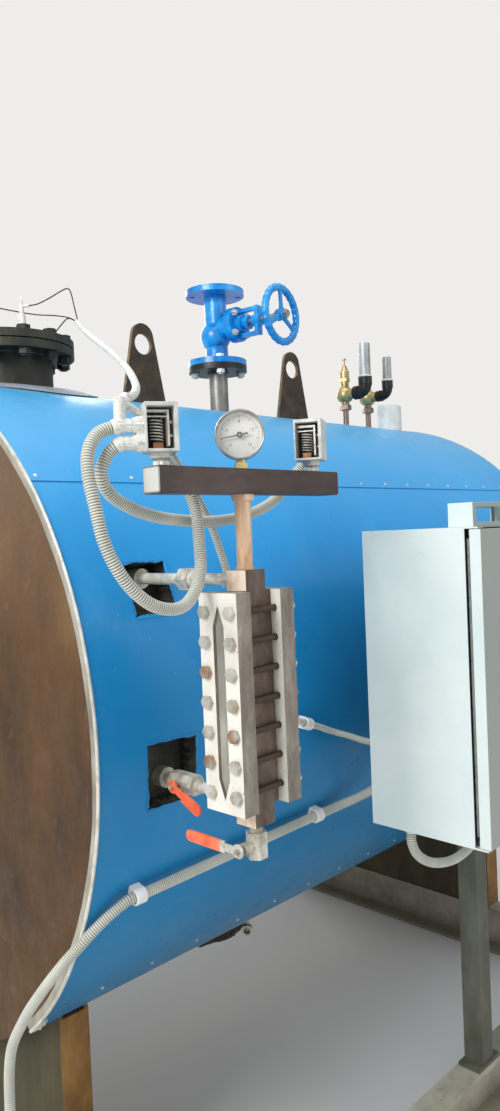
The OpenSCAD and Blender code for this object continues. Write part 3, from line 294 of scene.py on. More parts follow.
# What finish_of() takes for each finish
RECIPES = {
    # Polyester-coated sheet steel: satin, with the slight waves of thin rolled sheet
    "coated_sheet": dict(
        color=stained(
            # Painted shade on the low part of the sheets and a painted highlight on their tops
            parted(across(Z, 1.45, 1.85),
                   parted(across(Z, 0.50, 1.45), "#0C76A6",
                          drifting((2.2, 3), "#1C93DA", "#2AA3EA")),
                   "#55AFE2"),
            ((9, 8, 0.7, (1, 1, 0.35)), 0.56, 0.78, 0.13, "#8FBACC"),
            ((120, 2, 0.5), 0.72, 0.78, 0.25, "#C6D6D8")),
        rough=((14, 6, 0.65), 0.25, 0.42), bump=(4.5, 2, 0.4, (1, 1, 0.6)), depth=0.009,
        specular=0.32),
    # Red-brown anti-rust primer brushed on hot-rolled plate: flat, with pale vertical streaks and
    # stains
    "brown_primer": dict(
        color=stained(
            # Painted highlight: paler grey-brown towards the top of the plate
            parted(across(Z, 1.30, 1.60, (0, 0.45)),
                   speckled((6, 8, 0.66, (1, 1, 0.45)), {
                       0.30: "#33200D", 0.46: "#503516", 0.60: "#62421F", 0.78: "#7A5E34"}),
                   "#806C56"),
            ((21, 9, 0.75), 0.60, 0.70, 0.35, "#8C7A5C"),
            ((30, 8, 0.72, (1, 1, 0.22)), 0.60, 0.72, 0.22, "#8A8270"),
            ((160, 3, 0.6), 0.35, 0.75, 0.35, "#43301A")),
        rough=((18, 5), 0.5, 0.8), bump=(60, 6, 0.6), depth=0.0015),
    # Hot-dip galvanised strip, handled and dulled: pale grey with darker stains
    "galvanised_strip": dict(
        color=stained(
            speckled((22, 6, 0.6, (1, 1, 0.4)), {
                0.3: "#8E8A7C", 0.5: "#B4B0A2", 0.68: "#CFCCC0", 0.8: "#E4E2D8"}),
            ((7, 8, 0.7), 0.58, 0.72, 0.5, "#7A6E58")),
        rough=((30, 5), 0.32, 0.55), metallic=0.55, bump=(35, 4, 0.5), depth=0.0012),
    # Hot-rolled plate with its mill scale: blue-black, scuffed grey, first rust
    "mill_scale": dict(
        color=stained(
            speckled((16, 7, 0.65), {
                0.3: "#1D1D1B", 0.5: "#30302D", 0.66: "#45433C", 0.82: "#5E5A4E"}),
            ((34, 8, 0.72), 0.60, 0.70, 0.45, "#6B4A2E")),
        rough=((40, 6), 0.38, 0.66), metallic=0.35, bump=(90, 5, 0.6), depth=0.0008),
    # Alkyd enamel on sand-cast iron: glossy blue over a grainy skin, chipped in places
    "blue_enamel": dict(
        color=stained(
            speckled((15, 5, 0.6), {
                0.34: "#0B6CB8", 0.46: "#0F8AD8", 0.58: "#159EE8", 0.72: "#38BAF6"}),
            ((55, 8, 0.7), 0.68, 0.71, 0.8, "#4A4038")),
        rough=0.18, bump=(130, 4, 0.6), depth=0.0012, coat=0.3),
    # Cast and turned brass: tarnished in patches, brown at the valves' screwed necks
    "dull_brass": dict(
        color=parted(
            product(across(Z, 1.972, 1.966), across(Z, 1.1, 1.2)),
            stained(speckled((38, 6, 0.6), {
                0.3: "#A08A58", 0.5: "#CDB880", 0.7: "#E2D2A4", 0.85: "#F0E6C8"}),
                ((12, 6, 0.7), 0.58, 0.74, 0.45, "#7C6848")),
            "#8F7E74"),
        rough=((45, 5), 0.28, 0.5), metallic=0.85, bump=(140, 4), depth=0.0005),
    # Off-white oil paint on forged steel: greasy and chipped, grey-brown on its sides, partly as
    # painted shade
    "cover_paint": dict(
        color=stained(
            # Painted shade: every face that does not look along x takes the darker grey-brown
            parted(facing(X),
                   speckled((26, 8, 0.7, (1, 1, 0.3)), {
                       0.30: "#6E6256", 0.46: "#8C8276", 0.60: "#A59D90", 0.74: "#D8D4C8"}),
                   stained(drifting((20, 6), "#DEDACE", "#F0EDE4"),
                           ((48, 9, 0.75), 0.60, 0.70, 0.4, "#A39680"))),
            ((85, 8, 0.7), 0.66, 0.69, 0.7, "#6A4A34")),
        rough=((30, 5), 0.35, 0.6), bump=(110, 6, 0.65), depth=0.0012),
    # Zinc-plated bolts: some gone to rust, the studs between the gauge's covers brown
    "zinc_bolts": dict(
        color=parted(
            product(across(X, 0.034, 0.038), across(X, 0.110, 0.106), across(Y, -0.89, -0.90)),
            stained(speckled((17, 1, 0.4), {
                0.30: "#96664A", 0.38: "#AE9880", 0.46: "#BDBAAE", 0.7: "#DDDCD2"}),
                ((160, 6, 0.7), 0.54, 0.70, 0.5, "#6A5440")),
            "#4A3A2C"),
        rough=((60, 4), 0.3, 0.5), metallic=0.45, bump=(200, 4), depth=0.0004),
    # Zinc-plated screws, clean
    "bright_zinc": dict(
        color=speckled((40, 5), {0.3: "#BEBCB2", 0.5: "#DCDAD0", 0.75: "#F2F0E8"}),
        rough=0.34, metallic=0.4, bump=(200, 3), depth=0.0003),
    # Galvanised pipe fittings, pale with white bloom
    "pale_fittings": dict(
        color=speckled((34, 7, 0.65), {
            0.28: "#77705F", 0.42: "#B5B1A2", 0.56: "#D8D5C8", 0.75: "#EFEDE2"}),
        rough=0.42, metallic=0.3, bump=(150, 5), depth=0.0008),
    # Pipe in a copper-coloured primer, rubbed in darker streaks, with nearly white streaks as a
    # painted highlight
    "copper_primer": dict(
        color=stained(
            speckled((26, 6, 0.6, (1, 1, 0.3)), {
                0.3: "#BF8C66", 0.5: "#EBC4A0", 0.7: "#F8DCC0", 0.85: "#FFF2E2"}),
            ((70, 7, 0.7, (1, 1, 0.3)), 0.6, 0.68, 0.5, "#8A6244")),
        rough=0.34, metallic=0.25, bump=(120, 5), depth=0.0006),
    # Plate primed grey on the sides that look along x, bare and rusted brown elsewhere
    "rusted_plate": dict(
        color=parted(
            facing(X, 0.4, 0.6),
            speckled((9, 8, 0.68, (1, 1, 0.5)), {
                0.28: "#573A18", 0.5: "#8A6330", 0.68: "#A47C42", 0.82: "#BC9458"}),
            speckled((8, 7, 0.65, (1, 1, 0.35)), {
                0.3: "#342F1C", 0.5: "#48422A", 0.7: "#5A5338", 0.85: "#726A50"})),
        rough=0.72, bump=(70, 7, 0.65), depth=0.002),
    # Grey primer on rolled channel, dusty and muddy at the foot
    "skid_primer": dict(
        color=parted(
            across(Z, 0.0, 0.06, (0.55, 0.0)),
            stained(speckled((8, 8, 0.65), {
                0.3: "#8C8776", 0.5: "#ABA694", 0.68: "#BDB8A8", 0.85: "#CBC7BA"}),
                ((24, 9, 0.75), 0.56, 0.68, 0.5, "#6E6048")),
            "#5C503C"),
        rough=0.7, bump=(75, 7, 0.6), depth=0.0015),
    # Textured powder coat on folded sheet, with painted shade on the sides that look along y
    "powder_coat": dict(
        # Painted shade: the faces that look along y are mixed toward grey
        color=parted(facing(Y), POWDER, parted(0.8, POWDER, "#93978F")),
        rough=0.4, bump=(520, 2, 0.5), depth=0.0003),
    # Corrugated PVC conduit: cream, darker in its grooves
    "conduit_pvc": dict(
        color=parted(in_groove, stained(
            drifting((14, 5), "#CDD0C4", "#E6E6DC"),
            ((40, 8, 0.7), 0.58, 0.72, 0.35, "#A39C86")), "#4A483E"),
        rough=0.45),
    # Smooth heat-shrink sleeve, paler than the conduits
    "pale_sleeve": dict(
        color=speckled((30, 6, 0.6), {0.3: "#CCCCC2", 0.5: "#E0E0D8", 0.75: "#EEEEE8"}),
        bump=(90, 3), depth=0.0008),
    # PVC tape wound by hand: glossy white with dark laps
    "white_tape": dict(
        color=speckled((110, 4, 0.6, (1, 1, 3)), {
            0.3: "#B9B8B0", 0.5: "#E6E6E0", 0.75: "#F4F4F0"}),
        rough=0.35, bump=(150, 3, 0.5, (1, 1, 3)), depth=0.002),
    # Moulded nylon clips and clamps
    "white_nylon": dict(
        color=speckled((40, 5), {0.3: "#E4E4DE", 0.6: "#F6F6F2"}),
        rough=0.42, bump=(160, 3), depth=0.0003),
    # Butyl-covered wire
    "black_wire": dict(color=speckled((60, 4), {0.3: "#14110F", 0.7: "#2E2823"})),
    # Glazed porcelain of the probes' insulators
    "porcelain": dict(
        color=speckled((60, 5), {0.3: "#C8C4B8", 0.55: "#E8E6DC", 0.8: "#F5F3EC"}),
        rough=0.18, coat=0.5),
    # Vinyl dipped on a steel lever
    "orange_vinyl": dict(
        color=speckled((35, 5), {0.3: "#D9512C", 0.5: "#F0683F", 0.75: "#F8845C"}),
        rough=0.38, bump=(180, 3), depth=0.0004),
    # Bright rolled steel
    "bright_steel": dict(
        color=BRIGHT_STEEL, rough=0.3, metallic=0.85, bump=(240, 3), depth=0.0003),
    # Rolled stainless case on a turned brass stem
    "gauge_case": dict(
        color=parted(across(Z, 1.6105, 1.6115),
                     speckled((60, 5), {0.3: "#A88A4E", 0.55: "#D2B878", 0.8: "#EBDCAE"}),
                     BRIGHT_STEEL),
        rough=0.3, metallic=0.8, bump=(240, 3), depth=0.0003),
    # Thick borosilicate plate with dark water behind it
    "level_glass": dict(
        color=speckled((18, 4, 0.5, (1, 1, 0.3)), {
            0.3: "#6E6C62", 0.48: "#949188", 0.62: "#B4B1A8", 0.78: "#D6D3CA"}),
        rough=0.12, coat=0.5),
    # Painted dial plate
    "dial_paint": dict(color=speckled((40, 3), {0.3: "#E6E4DC", 0.7: "#F2F1EC"})),
    # Black ink of the dial's marks, and the pointer's paint
    "dial_ink": dict(color=speckled((200, 3), {0.3: "#101010", 0.7: "#242424"})),
    # Die-cast case, grey hammer paint
    "grey_case": dict(
        color=speckled((45, 6, 0.6), {0.3: "#A9ACA9", 0.5: "#CDD0CD", 0.75: "#E2E4E0"}),
        rough=0.45, metallic=0.2, bump=(150, 4), depth=0.0006),
    # The same coated sheet from its back: a thin pale primer
    "pale_sheet": dict(
        color=speckled((12, 6, 0.6), {0.3: "#7F8894", 0.5: "#98A0AE", 0.75: "#B4BAC6"}),
        bump=(30, 3), depth=0.0006),
    # Slag wool with its binder, painted dark as shade inside the openings
    "slag_wool": dict(
        color=speckled((60, 9, 0.75), {
            0.3: "#25241F", 0.5: "#44433C", 0.68: "#6A6453", 0.85: "#A0967E"}),
        rough=0.95, bump=(120, 9, 0.8), depth=0.006),
    # Square tube in chocolate primer, its front end face pale as a painted highlight
    "rubbed_primer": dict(
        color=parted(
            # Painted highlight on the manifold's front end face
            product(tube_ends, across(X, -0.112, -0.116)),
            speckled((16, 7, 0.62, (0.4, 1, 1)), {
                0.3: "#382B26", 0.5: "#4C3D37", 0.68: "#5E504A", 0.85: "#80766F"}),
            "#E0E2DC"),
        rough=0.42, metallic=0.15, bump=(90, 5, 0.6), depth=0.0006),
    # Machined steel block: pinkish primer on its ends along x, brown and greasy elsewhere; both
    # partly painted light and shade
    "gauge_block": dict(
        # Painted light: the ends along x are nearly white pink; painted shade: the other faces
        # are brown
        color=parted(
            facing(X),
            speckled((24, 8, 0.7, (1, 1, 0.4)), {
                0.3: "#43342A", 0.5: "#66564A", 0.68: "#857668", 0.85: "#A8A092"}),
            speckled((24, 8, 0.7), {
                0.3: "#CCA888", 0.5: "#F4DCC6", 0.66: "#FFF0E0", 0.82: "#FFFAF2"})),
        metallic=0.15, bump=(120, 6, 0.6), depth=0.0008),
    # Seamless pipe, brushed to grey, under a flange with its mill scale
    "riser_steel": dict(
        color=parted(
            across(Z, 2.002, 2.008),
            speckled((22, 7, 0.65, (1, 1, 0.4)), {
                0.3: "#6A645C", 0.5: "#948E86", 0.7: "#ADA79F", 0.85: "#C8C3BA"}),
            speckled((40, 6), {0.3: "#1E1D1B", 0.6: "#33312C", 0.85: "#55504A"})),
        rough=0.38, metallic=0.4, bump=(90, 5), depth=0.0008),
    # Flame-cut plate: dark with scale and grease on its faces, rusted on its cut edge
    "flame_cut_plate": dict(
        color=parted(
            facing(Y, 0.5, 0.8),
            speckled((60, 6), {0.3: "#6E5840", 0.6: "#9C8466", 0.85: "#C0AC8C"}),
            speckled((22, 7, 0.68), {
                0.3: "#2E2218", 0.5: "#453626", 0.66: "#5A4632", 0.84: "#7C6448"})),
        rough=0.55, metallic=0.2, bump=(110, 6, 0.65), depth=0.001),
    # Fabricated nozzle in olive-black primer, scuffed at its rims
    "olive_primer": dict(
        color=stained(
            speckled((18, 8, 0.68, (1, 1, 0.5)), {
                0.3: "#20201A", 0.5: "#333327", 0.66: "#464636", 0.84: "#6A6650"}),
            ((34, 8, 0.72), 0.62, 0.71, 0.4, "#6B5234")),
        metallic=0.2, bump=(90, 5, 0.6), depth=0.0008),
    # Square tube in thin grey-green primer
    "green_primer": dict(
        color=stained(
            speckled((10, 7, 0.65, (1, 1, 0.4)), {
                0.3: "#43443A", 0.5: "#595B4E", 0.7: "#6C6E60", 0.85: "#8A8B7C"}),
            ((26, 9, 0.74), 0.60, 0.70, 0.45, "#6E5636")),
        rough=0.62, bump=(80, 6, 0.6), depth=0.001),
    # Boiler plate under the insulation: painted dark as shade inside the openings, with scaled
    # rust
    "shell_plate_painted_shade": dict(
        color=stained(
            speckled((14, 8, 0.7), {
                0.3: "#2A2C2A", 0.48: "#444740", 0.62: "#5E5A4A", 0.8: "#7C6A50"}),
            ((6, 6, 0.7), 0.50, 0.66, 0.5, "#171512")),
        rough=0.8, bump=(55, 8, 0.7), depth=0.002),
    # Galvanised pipe screwed into a black malleable elbow
    "outlet_pipe": dict(
        color=parted(
            across(Z, 2.050, 2.054),
            speckled((50, 6), {0.3: "#191918", 0.6: "#2E2D2A", 0.85: "#504C45"}),
            speckled((20, 6, 0.6, (1, 1, 0.4)), {
                0.3: "#8C8E8A", 0.5: "#B2B6B4", 0.68: "#CDD1CF", 0.8: "#E4E8E6"})),
        rough=0.42, metallic=0.35, bump=(150, 4), depth=0.0005),
    # Steel lever, its hand end dipped in vinyl
    "dipped_lever": dict(
        color=parted(
            across(Y, -0.908, -0.905),
            speckled((60, 5), {0.3: "#A8A69C", 0.6: "#D2D0C6", 0.8: "#ECEAE0"}),
            speckled((35, 5), {0.3: "#E25A34", 0.5: "#F47850", 0.75: "#FA9468"})),
        rough=0.4, bump=(180, 3), depth=0.0004),
    # Copper bellows
    "copper_bellows": dict(
        color=speckled((60, 5), {0.3: "#8A5A3A", 0.55: "#BC8660", 0.8: "#DDB490"}),
        rough=0.32, metallic=0.8, bump=(220, 3), depth=0.0003),
    # Black moulded phenolic of the switches' insides
    "phenolic": dict(
        color=speckled((70, 5), {0.3: "#141312", 0.6: "#24221F", 0.85: "#3A3630"}),
        rough=0.48, bump=(200, 3), depth=0.0003),
    # Foam rubber door seal, grey-green
    "foam_seal": dict(
        color=speckled((90, 6, 0.6), {0.3: "#6E7870", 0.6: "#8C968E", 0.85: "#A6B0A8"}),
        rough=0.85, bump=(300, 4), depth=0.0004),
    # Weld bead: ripples of bare dark steel
    "weld_bead": dict(
        color=speckled((90, 6, 0.6), {0.3: "#2A2825", 0.6: "#56524B", 0.85: "#8A857B"}),
        rough=0.42, metallic=0.5, bump=(260, 3), depth=0.0008),
}
FINISHES = {}


def finish_of(name, color, rough=0.5, metallic=0.0, bump=None, depth=0.001, coat=0.0,
              specular=0.5):
    """A principled material: color is a function or hex, rough a number or (grain, low, high)."""
    made = bpy.data.materials.new(name)
    made.use_nodes = True
    tree = made.node_tree
    tree.nodes.clear()
    shader = add(tree, "ShaderNodeBsdfPrincipled", {
        "Metallic": metallic, "Coat Weight": coat, "Specular IOR Level": specular,
        "Base Color": color(tree) if callable(color) else linear(color)})
    if isinstance(rough, tuple):
        grain, low, high = rough
        rough = band(tree, noise(tree, *grain), 0.3, 0.7, (low, high))
        tree.links.new(rough, shader.inputs["Roughness"])
    else:
        shader.inputs["Roughness"].default_value = rough
    if bump:
        lifted = add(tree, "ShaderNodeBump", {
            "Height": noise(tree, *bump), "Distance": depth, "Strength": 1.0})
        tree.links.new(lifted.outputs["Normal"], shader.inputs["Normal"])
    add(tree, "ShaderNodeOutputMaterial", {"Surface": shader.outputs["BSDF"]})
    return made


def clear_lens():
    """Clear lens of the dial: what is behind shows through, with a thin gloss."""
    made = finish_of("clear_lens", "#F4F8F8", 0.03)
    tree = made.node_tree
    clear = add(tree, "ShaderNodeBsdfTransparent")
    gloss, out = (next(node for node in tree.nodes if node.type == kind)
                  for kind in ("BSDF_PRINCIPLED", "OUTPUT_MATERIAL"))
    both = add(tree, "ShaderNodeMixShader", {
        0: 0.08, 1: clear.outputs[0], 2: gloss.outputs[0]})
    tree.links.new(both.outputs[0], out.inputs["Surface"])
    return made


def build_finishes():
    """Makes every finish of the boiler."""
    for name, recipe in RECIPES.items():
        FINISHES[name] = finish_of(name, **recipe)
    FINISHES["clear_lens"] = clear_lens()


NODE_FINISH = {node: finish for finish, nodes in {
    "shell_plate_painted_shade": "shell",
    "brown_primer": "front_plate rear_plate furnace_cover flue_stub",
    "slag_wool": "insulation",
    "coated_sheet": "cladding_near cladding_far cladding_top",
    "galvanised_strip": "end_trims cabinet_plate",
    "skid_primer": "crossmembers skid_beams",
    "rusted_plate": "saddles",
    "flame_cut_plate": "lifting_lugs",
    "olive_primer": "probe_nozzle probe_cover",
    "mill_scale": "nozzle_bolt_set",
    "porcelain": "level_probes",
    "black_wire": "level_wires",
    "riser_steel": "steam_riser",
    "blue_enamel": "valve_body valve_bonnet handwheel",
    "bright_steel": "valve_stem",
    "bright_zinc": "valve_bolt_set",
    "dull_brass": "safety_valves",
    "outlet_pipe": "discharge_pipes",
    "pale_sleeve": "pipe_sleeve probe_lead",
    "gauge_block": "gauge_body",
    "copper_primer": "gauge_riser",
    "cover_paint": "gauge_covers",
    "level_glass": "gauge_glasses",
    "zinc_bolts": "gauge_bolt_set",
    "pale_fittings": "upper_branch lower_branch drain_valve",
    "orange_vinyl": "branch_lever",
    "dipped_lever": "drain_lever",
    "rubbed_primer": "manifold",
    "gauge_case": "pressure_gauge",
    "dial_ink": "gauge_pointer",
    "clear_lens": "gauge_lens",
    "grey_case": "pressure_switches",
    "powder_coat": "cabinet cabinet_door cabinet_hood",
    "green_primer": "cabinet_stand",
    "white_nylon": "conduit_clamps",
    "white_tape": "conduit_glands",
    "conduit_pvc": "conduit_loops conduit_runs",
}.items() for node in nodes.split()}


# ---------------------------------------------------------------- meshes
def placed(name, data):
    """A new object in the scene."""
    made = bpy.data.objects.new(name, data)
    bpy.context.scene.collection.objects.link(made)
    return made


def mesh_of(name, points, faces=(), edges=()):
    """A mesh from points in millimetres."""
    mesh = bpy.data.meshes.new(name)
    mesh.from_pydata([Vector(p) * MM for p in points], edges, faces)
    return mesh


def turns(count, stop=None):
    """The angles of a full turn in equal steps, or of as many of these steps as stop says."""
    return [2 * math.pi * k / count for k in range(count if stop is None else stop)]


def polar(r, turn, z=0, x=0):
    """A point at a radius and an angle about an upright axis through x."""
    return Vector((x + r * math.cos(turn), r * math.sin(turn), z))


def piece(name, parts, finish, body="boiler", smooth=True):
    """A mesh object from (points, faces) parts in millimetres that rides on a body."""
    verts, faces = [], []
    for points, sides in parts:
        start = len(verts)
        verts += points
        faces += [tuple(start + i for i in side) for side in sides]
    mesh = mesh_of(name, verts, faces)
    mesh.validate()
    made = placed(name, mesh)
    finish_piece(made, finish, body, smooth)
    return made


def finish_piece(made, finish, body="boiler", smooth=True):
    """Gives a piece its material, shading and body."""
    made.data.materials.clear()
    made.data.materials.append(FINISHES[finish])
    if smooth:
        made.data.polygons.foreach_set("use_smooth", [True] * len(made.data.polygons))
    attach(made, body)


def smooth_route(points, step):
    """A smooth line through the points, with a point about every step, in millimetres."""
    p = [Vector(q) for q in points]
    p = [2 * p[0] - p[1]] + p + [2 * p[-1] - p[-2]]
    out = []
    for i in range(1, len(p) - 2):
        span = (p[i + 1] - p[i]).length
        count = max(2, round(span / step))
        a = (p[i + 1] - p[i - 1]).normalized() * span
        b = (p[i + 2] - p[i]).normalized() * span
        for k in range(count):
            t = k / count
            out.append((2 * t ** 3 - 3 * t ** 2 + 1) * p[i] + (t ** 3 - 2 * t ** 2 + t) * a
                       + (3 * t ** 2 - 2 * t ** 3) * p[i + 1] + (t ** 3 - t ** 2) * b)
    out.append(p[-2].copy())
    return out


def outwards(mesh):
    """Turns a closed mesh right side out if its volume comes out negative."""
    mesh.calc_loop_triangles()
    corners = ([mesh.vertices[i].co for i in face.vertices] for face in mesh.loop_triangles)
    if sum(a.dot(b.cross(c)) for a, b, c in corners) < 0:
        mesh.flip_normals()


def even_route(line, step):
    """The line again with points an even step apart, and its length."""
    lengths = [0.0]
    for a, b in zip(line, line[1:]):
        lengths.append(lengths[-1] + (b - a).length)
    total = lengths[-1]
    count = max(2, round(total / step))
    out, at = [], 0
    for k in range(count + 1):
        want = total * k / count
        while at < len(line) - 2 and lengths[at + 1] < want:
            at += 1
        span = lengths[at + 1] - lengths[at]
        t = (want - lengths[at]) / span if span else 0
        out.append(line[at].lerp(line[at + 1], min(1, max(0, t))))
    return out, total


def tube(line, radii, sides):
    """Points and faces of a closed tube along a line, with a radius at each point."""
    verts = []
    side = None
    for i, at in enumerate(line):
        go = (line[min(i + 1, len(line) - 1)] - line[max(i - 1, 0)]).normalized()
        if side is None:
            side = go.cross(Vector((0.3, 0.2, 1))).normalized()
        side = (side - go * side.dot(go)).normalized()
        up = go.cross(side)
        verts += [at + radii[i] * (math.cos(turn) * side + math.sin(turn) * up)
                  for turn in turns(sides)]
    return verts, tube_faces(len(line), sides)


def tube_faces(rings, sides):
    """The faces of a tube of rings of points, with one at either end of it."""
    faces = []
    for i in range(rings - 1):
        for k in range(sides):
            a, b = i * sides + k, i * sides + (k + 1) % sides
            faces.append((a, b, b + sides, a + sides))
    last = rings * sides
    return faces + [tuple(reversed(range(sides))), tuple(range(last - sides, last))]


def on_shell(x, angle, r):
    """A point at a radius about the boiler's axis, at an angle above the near horizontal."""
    a = math.radians(angle)
    return Vector((x, -r * math.cos(a), AXIS_Z + r * math.sin(a)))


def out_at(angle):
    """The direction straight out of the shell at an angle."""
    return on_shell(0, angle, 1) - Vector((0, 0, AXIS_Z))


def on_top(x, y, r):
    """The point of a cylinder about the boiler's axis that lies straight above x and y."""
    return Vector((x, y, AXIS_Z + math.sqrt(r ** 2 - y * y)))


def ribbon(rows, flip, closed=False):
    """Points and faces of a closed skin through rows of points, one row after another."""
    n = len(rows[0])
    verts = [p for row in rows for p in row]
    faces = []
    for i in range(len(rows) - 1):
        for k in range(n):
            a, b = i * n + k, i * n + (k + 1) % n
            faces.append((a, a + n, b + n, b))
    if not closed:
        faces += [tuple(range(n)), tuple(range(len(verts) - 1, len(verts) - n - 1, -1))]
    if not flip:
        faces = [face[::-1] for face in faces]
    return verts, faces


def block(low, high):
    """A box's points and faces, in millimetres."""
    verts = [Vector((x, y, z)) for x in (low[0], high[0]) for y in (low[1], high[1])
             for z in (low[2], high[2])]
    return verts, [(0, 1, 3, 2), (4, 6, 7, 5), (0, 4, 5, 1), (2, 3, 7, 6), (0, 2, 6, 4),
                   (1, 5, 7, 3)]


def turned(profile, sides, place):
    """A solid of revolution about z from (radius, height) pairs, put in place."""
    verts = [place @ polar(r, turn, z) for r, z in profile for turn in turns(sides)]
    return verts, tube_faces(len(profile), sides)


def bevel(made, width, angle=35):
    """Rounds the hard edges of a piece, in millimetres."""
    mod = made.modifiers.new("Edges", "BEVEL")
    mod.width = width * MM
    mod.segments = 2
    mod.limit_method = "ANGLE"
    mod.angle_limit = math.radians(angle)
    mod.harden_normals = True


def looking(center, aim, up=(0, 0, 1)):
    """A frame at a point whose z looks along aim."""
    z = Vector(aim).normalized()
    x = Vector(up).cross(z).normalized()
    y = z.cross(x)
    m = Matrix((x, y, z)).transposed().to_4x4()
    m.translation = Vector(center)
    return m


def start_tree(name, inputs):
    """A geometry node tree with named inputs: the tree, its input node and the inputs' keys."""
    tree = bpy.data.node_groups.new(name, "GeometryNodeTree")

    def socket(label, kind, way="INPUT"):
        return tree.interface.new_socket(
            label, in_out=way, socket_type="NodeSocket" + kind).identifier

    socket("Geometry", "Geometry")
    keys = {label: socket(label, kind) for label, kind in inputs}
    socket("Geometry", "Geometry", "OUTPUT")
    return tree, add(tree, "NodeGroupInput"), keys


def end_tree(tree, made, finish):
    """Ends a tree with real geometry and its material."""
    real = add(tree, "GeometryNodeRealizeInstances", {"Geometry": made})
    done = add(tree, "GeometryNodeSetMaterial", {
        "Geometry": real.outputs["Geometry"], "Material": finish})
    add(tree, "NodeGroupOutput", {0: done.outputs["Geometry"]})


def grown(name, host_mesh, made_tree, values):
    """The plain mesh that a tree makes from a host mesh."""
    tree, keys = made_tree
    host = placed(name, host_mesh)
    mod = host.modifiers.new("Grow", "NODES")
    mod.node_group = tree
    for label, value in values.items():
        mod[keys[label]] = value
    bpy.context.view_layer.update()
    seen = host.evaluated_get(bpy.context.evaluated_depsgraph_get())
    mesh = bpy.data.meshes.new_from_object(seen)
    host.modifiers.clear()
    host.data = mesh
    mesh.name = name
    return host


@cache
def ribbed_tree():
    """A corrugated tube along a line of points that stand a quarter of a rib apart."""
    tree, inside, keys = start_tree("ribbed_conduit", (
        ("Radius", "Float"), ("Depth", "Float"), ("Sides", "Int"), ("Finish", "Material")))
    at = add(tree, "GeometryNodeInputIndex")
    turn = maths(tree, "MODULO", at.outputs[0], 4.0)
    groove = maths(tree, "LESS_THAN", turn, 1.5)
    line = add(tree, "GeometryNodeMeshToCurve", {"Mesh": inside.outputs["Geometry"]})
    marked = add(tree, "GeometryNodeStoreNamedAttribute", {
        "Geometry": line.outputs[0], "Name": "groove", "Value": groove},
        data_type="FLOAT", domain="POINT")
    ring = add(tree, "GeometryNodeCurvePrimitiveCircle", {
        "Resolution": inside.outputs["Sides"], "Radius": 1.0})
    cut = maths(tree, "MULTIPLY", groove, inside.outputs["Depth"])
    size = maths(tree, "SUBTRACT", inside.outputs["Radius"], cut)
    made = add(tree, "GeometryNodeCurveToMesh", {
        "Curve": marked.outputs[0], "Profile Curve": ring.outputs["Curve"], "Scale": size,
        "Fill Caps": True})
    end_tree(tree, made.outputs[0], inside.outputs["Finish"])
    return tree, keys


@cache
def scatter_tree():
    """Copies of a prototype on each point, along the points' aim attribute."""
    tree, inside, keys = start_tree("put_on_points", (
        ("Prototype", "Object"), ("Finish", "Material"), ("Spin", "Float"), ("Seed", "Int")))
    aim = add(tree, "GeometryNodeInputNamedAttribute", {"Name": "aim"},
              data_type="FLOAT_VECTOR")
    shown = add(tree, "GeometryNodeObjectInfo", {"Object": inside.outputs["Prototype"]})
    dots = add(tree, "GeometryNodeMeshToPoints", {"Mesh": inside.outputs["Geometry"]})
    aligned = add(tree, "FunctionNodeAlignRotationToVector", {"Vector": aim.outputs[0]},
                  axis="Z")
    spin = add(tree, "FunctionNodeRandomValue", {
        "Seed": inside.outputs["Seed"], 3: inside.outputs["Spin"]}, data_type="FLOAT")
    spun = add(tree, "FunctionNodeAxisAngleToRotation", {
        "Axis": (0, 0, 1), "Angle": spin.outputs[1]})
    both = add(tree, "FunctionNodeRotateRotation", {
        0: aligned.outputs[0], 1: spun.outputs[0]}, rotation_space="LOCAL")
    copies = add(tree, "GeometryNodeInstanceOnPoints", {
        "Points": dots.outputs["Points"], "Instance": shown.outputs["Geometry"],
        "Rotation": both.outputs[0]})
    end_tree(tree, copies.outputs["Instances"], inside.outputs["Finish"])
    return tree, keys


def scatter(name, places, aims, prototype, finish, seed):
    """Copies of a small form (points, faces) at each place, in millimetres."""
    model = placed(name + "_form", mesh_of(name + "_form", *prototype))
    dots = mesh_of(name, places)
    aim = dots.attributes.new("aim", "FLOAT_VECTOR", "POINT")
    aim.data.foreach_set("vector", [c for a in aims for c in a])
    made = grown(name, dots, scatter_tree(), {
        "Prototype": model, "Finish": FINISHES[finish], "Spin": SCREW_SPIN, "Seed": seed})
    bpy.data.objects.remove(model)
    finish_piece(made, finish, smooth=False)
    return made


def rounded(node, width, angle=32):
    """Replaces a CAD node by a copy with its edges rounded, width in millimetres."""
    work = bmesh.new()
    work.from_mesh(NODES[node].data)
    bmesh.ops.remove_doubles(work, verts=work.verts, dist=2e-6)
    bmesh.ops.dissolve_limit(work, angle_limit=math.radians(0.4), verts=work.verts,
                             edges=work.edges)
    mesh = bpy.data.meshes.new(node + "_rounded")
    work.to_mesh(mesh)
    work.free()
    made = placed(node + "_rounded", mesh)
    finish_piece(made, NODE_FINISH[node], BODY_OF[node])
    mesh.set_sharp_from_angle(angle=math.radians(angle))
    bevel(made, width, angle)
    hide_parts(node)
    return made


def screw_head(r):
    """A low domed head with a washer, its seat at z = 0."""
    return turned([(r * 1.7, -0.3), (r * 1.7, 0.5), (r * 1.05, 0.7), (r, r * 0.6),
                   (r * 0.7, r * 0.95), (0.01, r)], 12, Matrix.Identity(4))


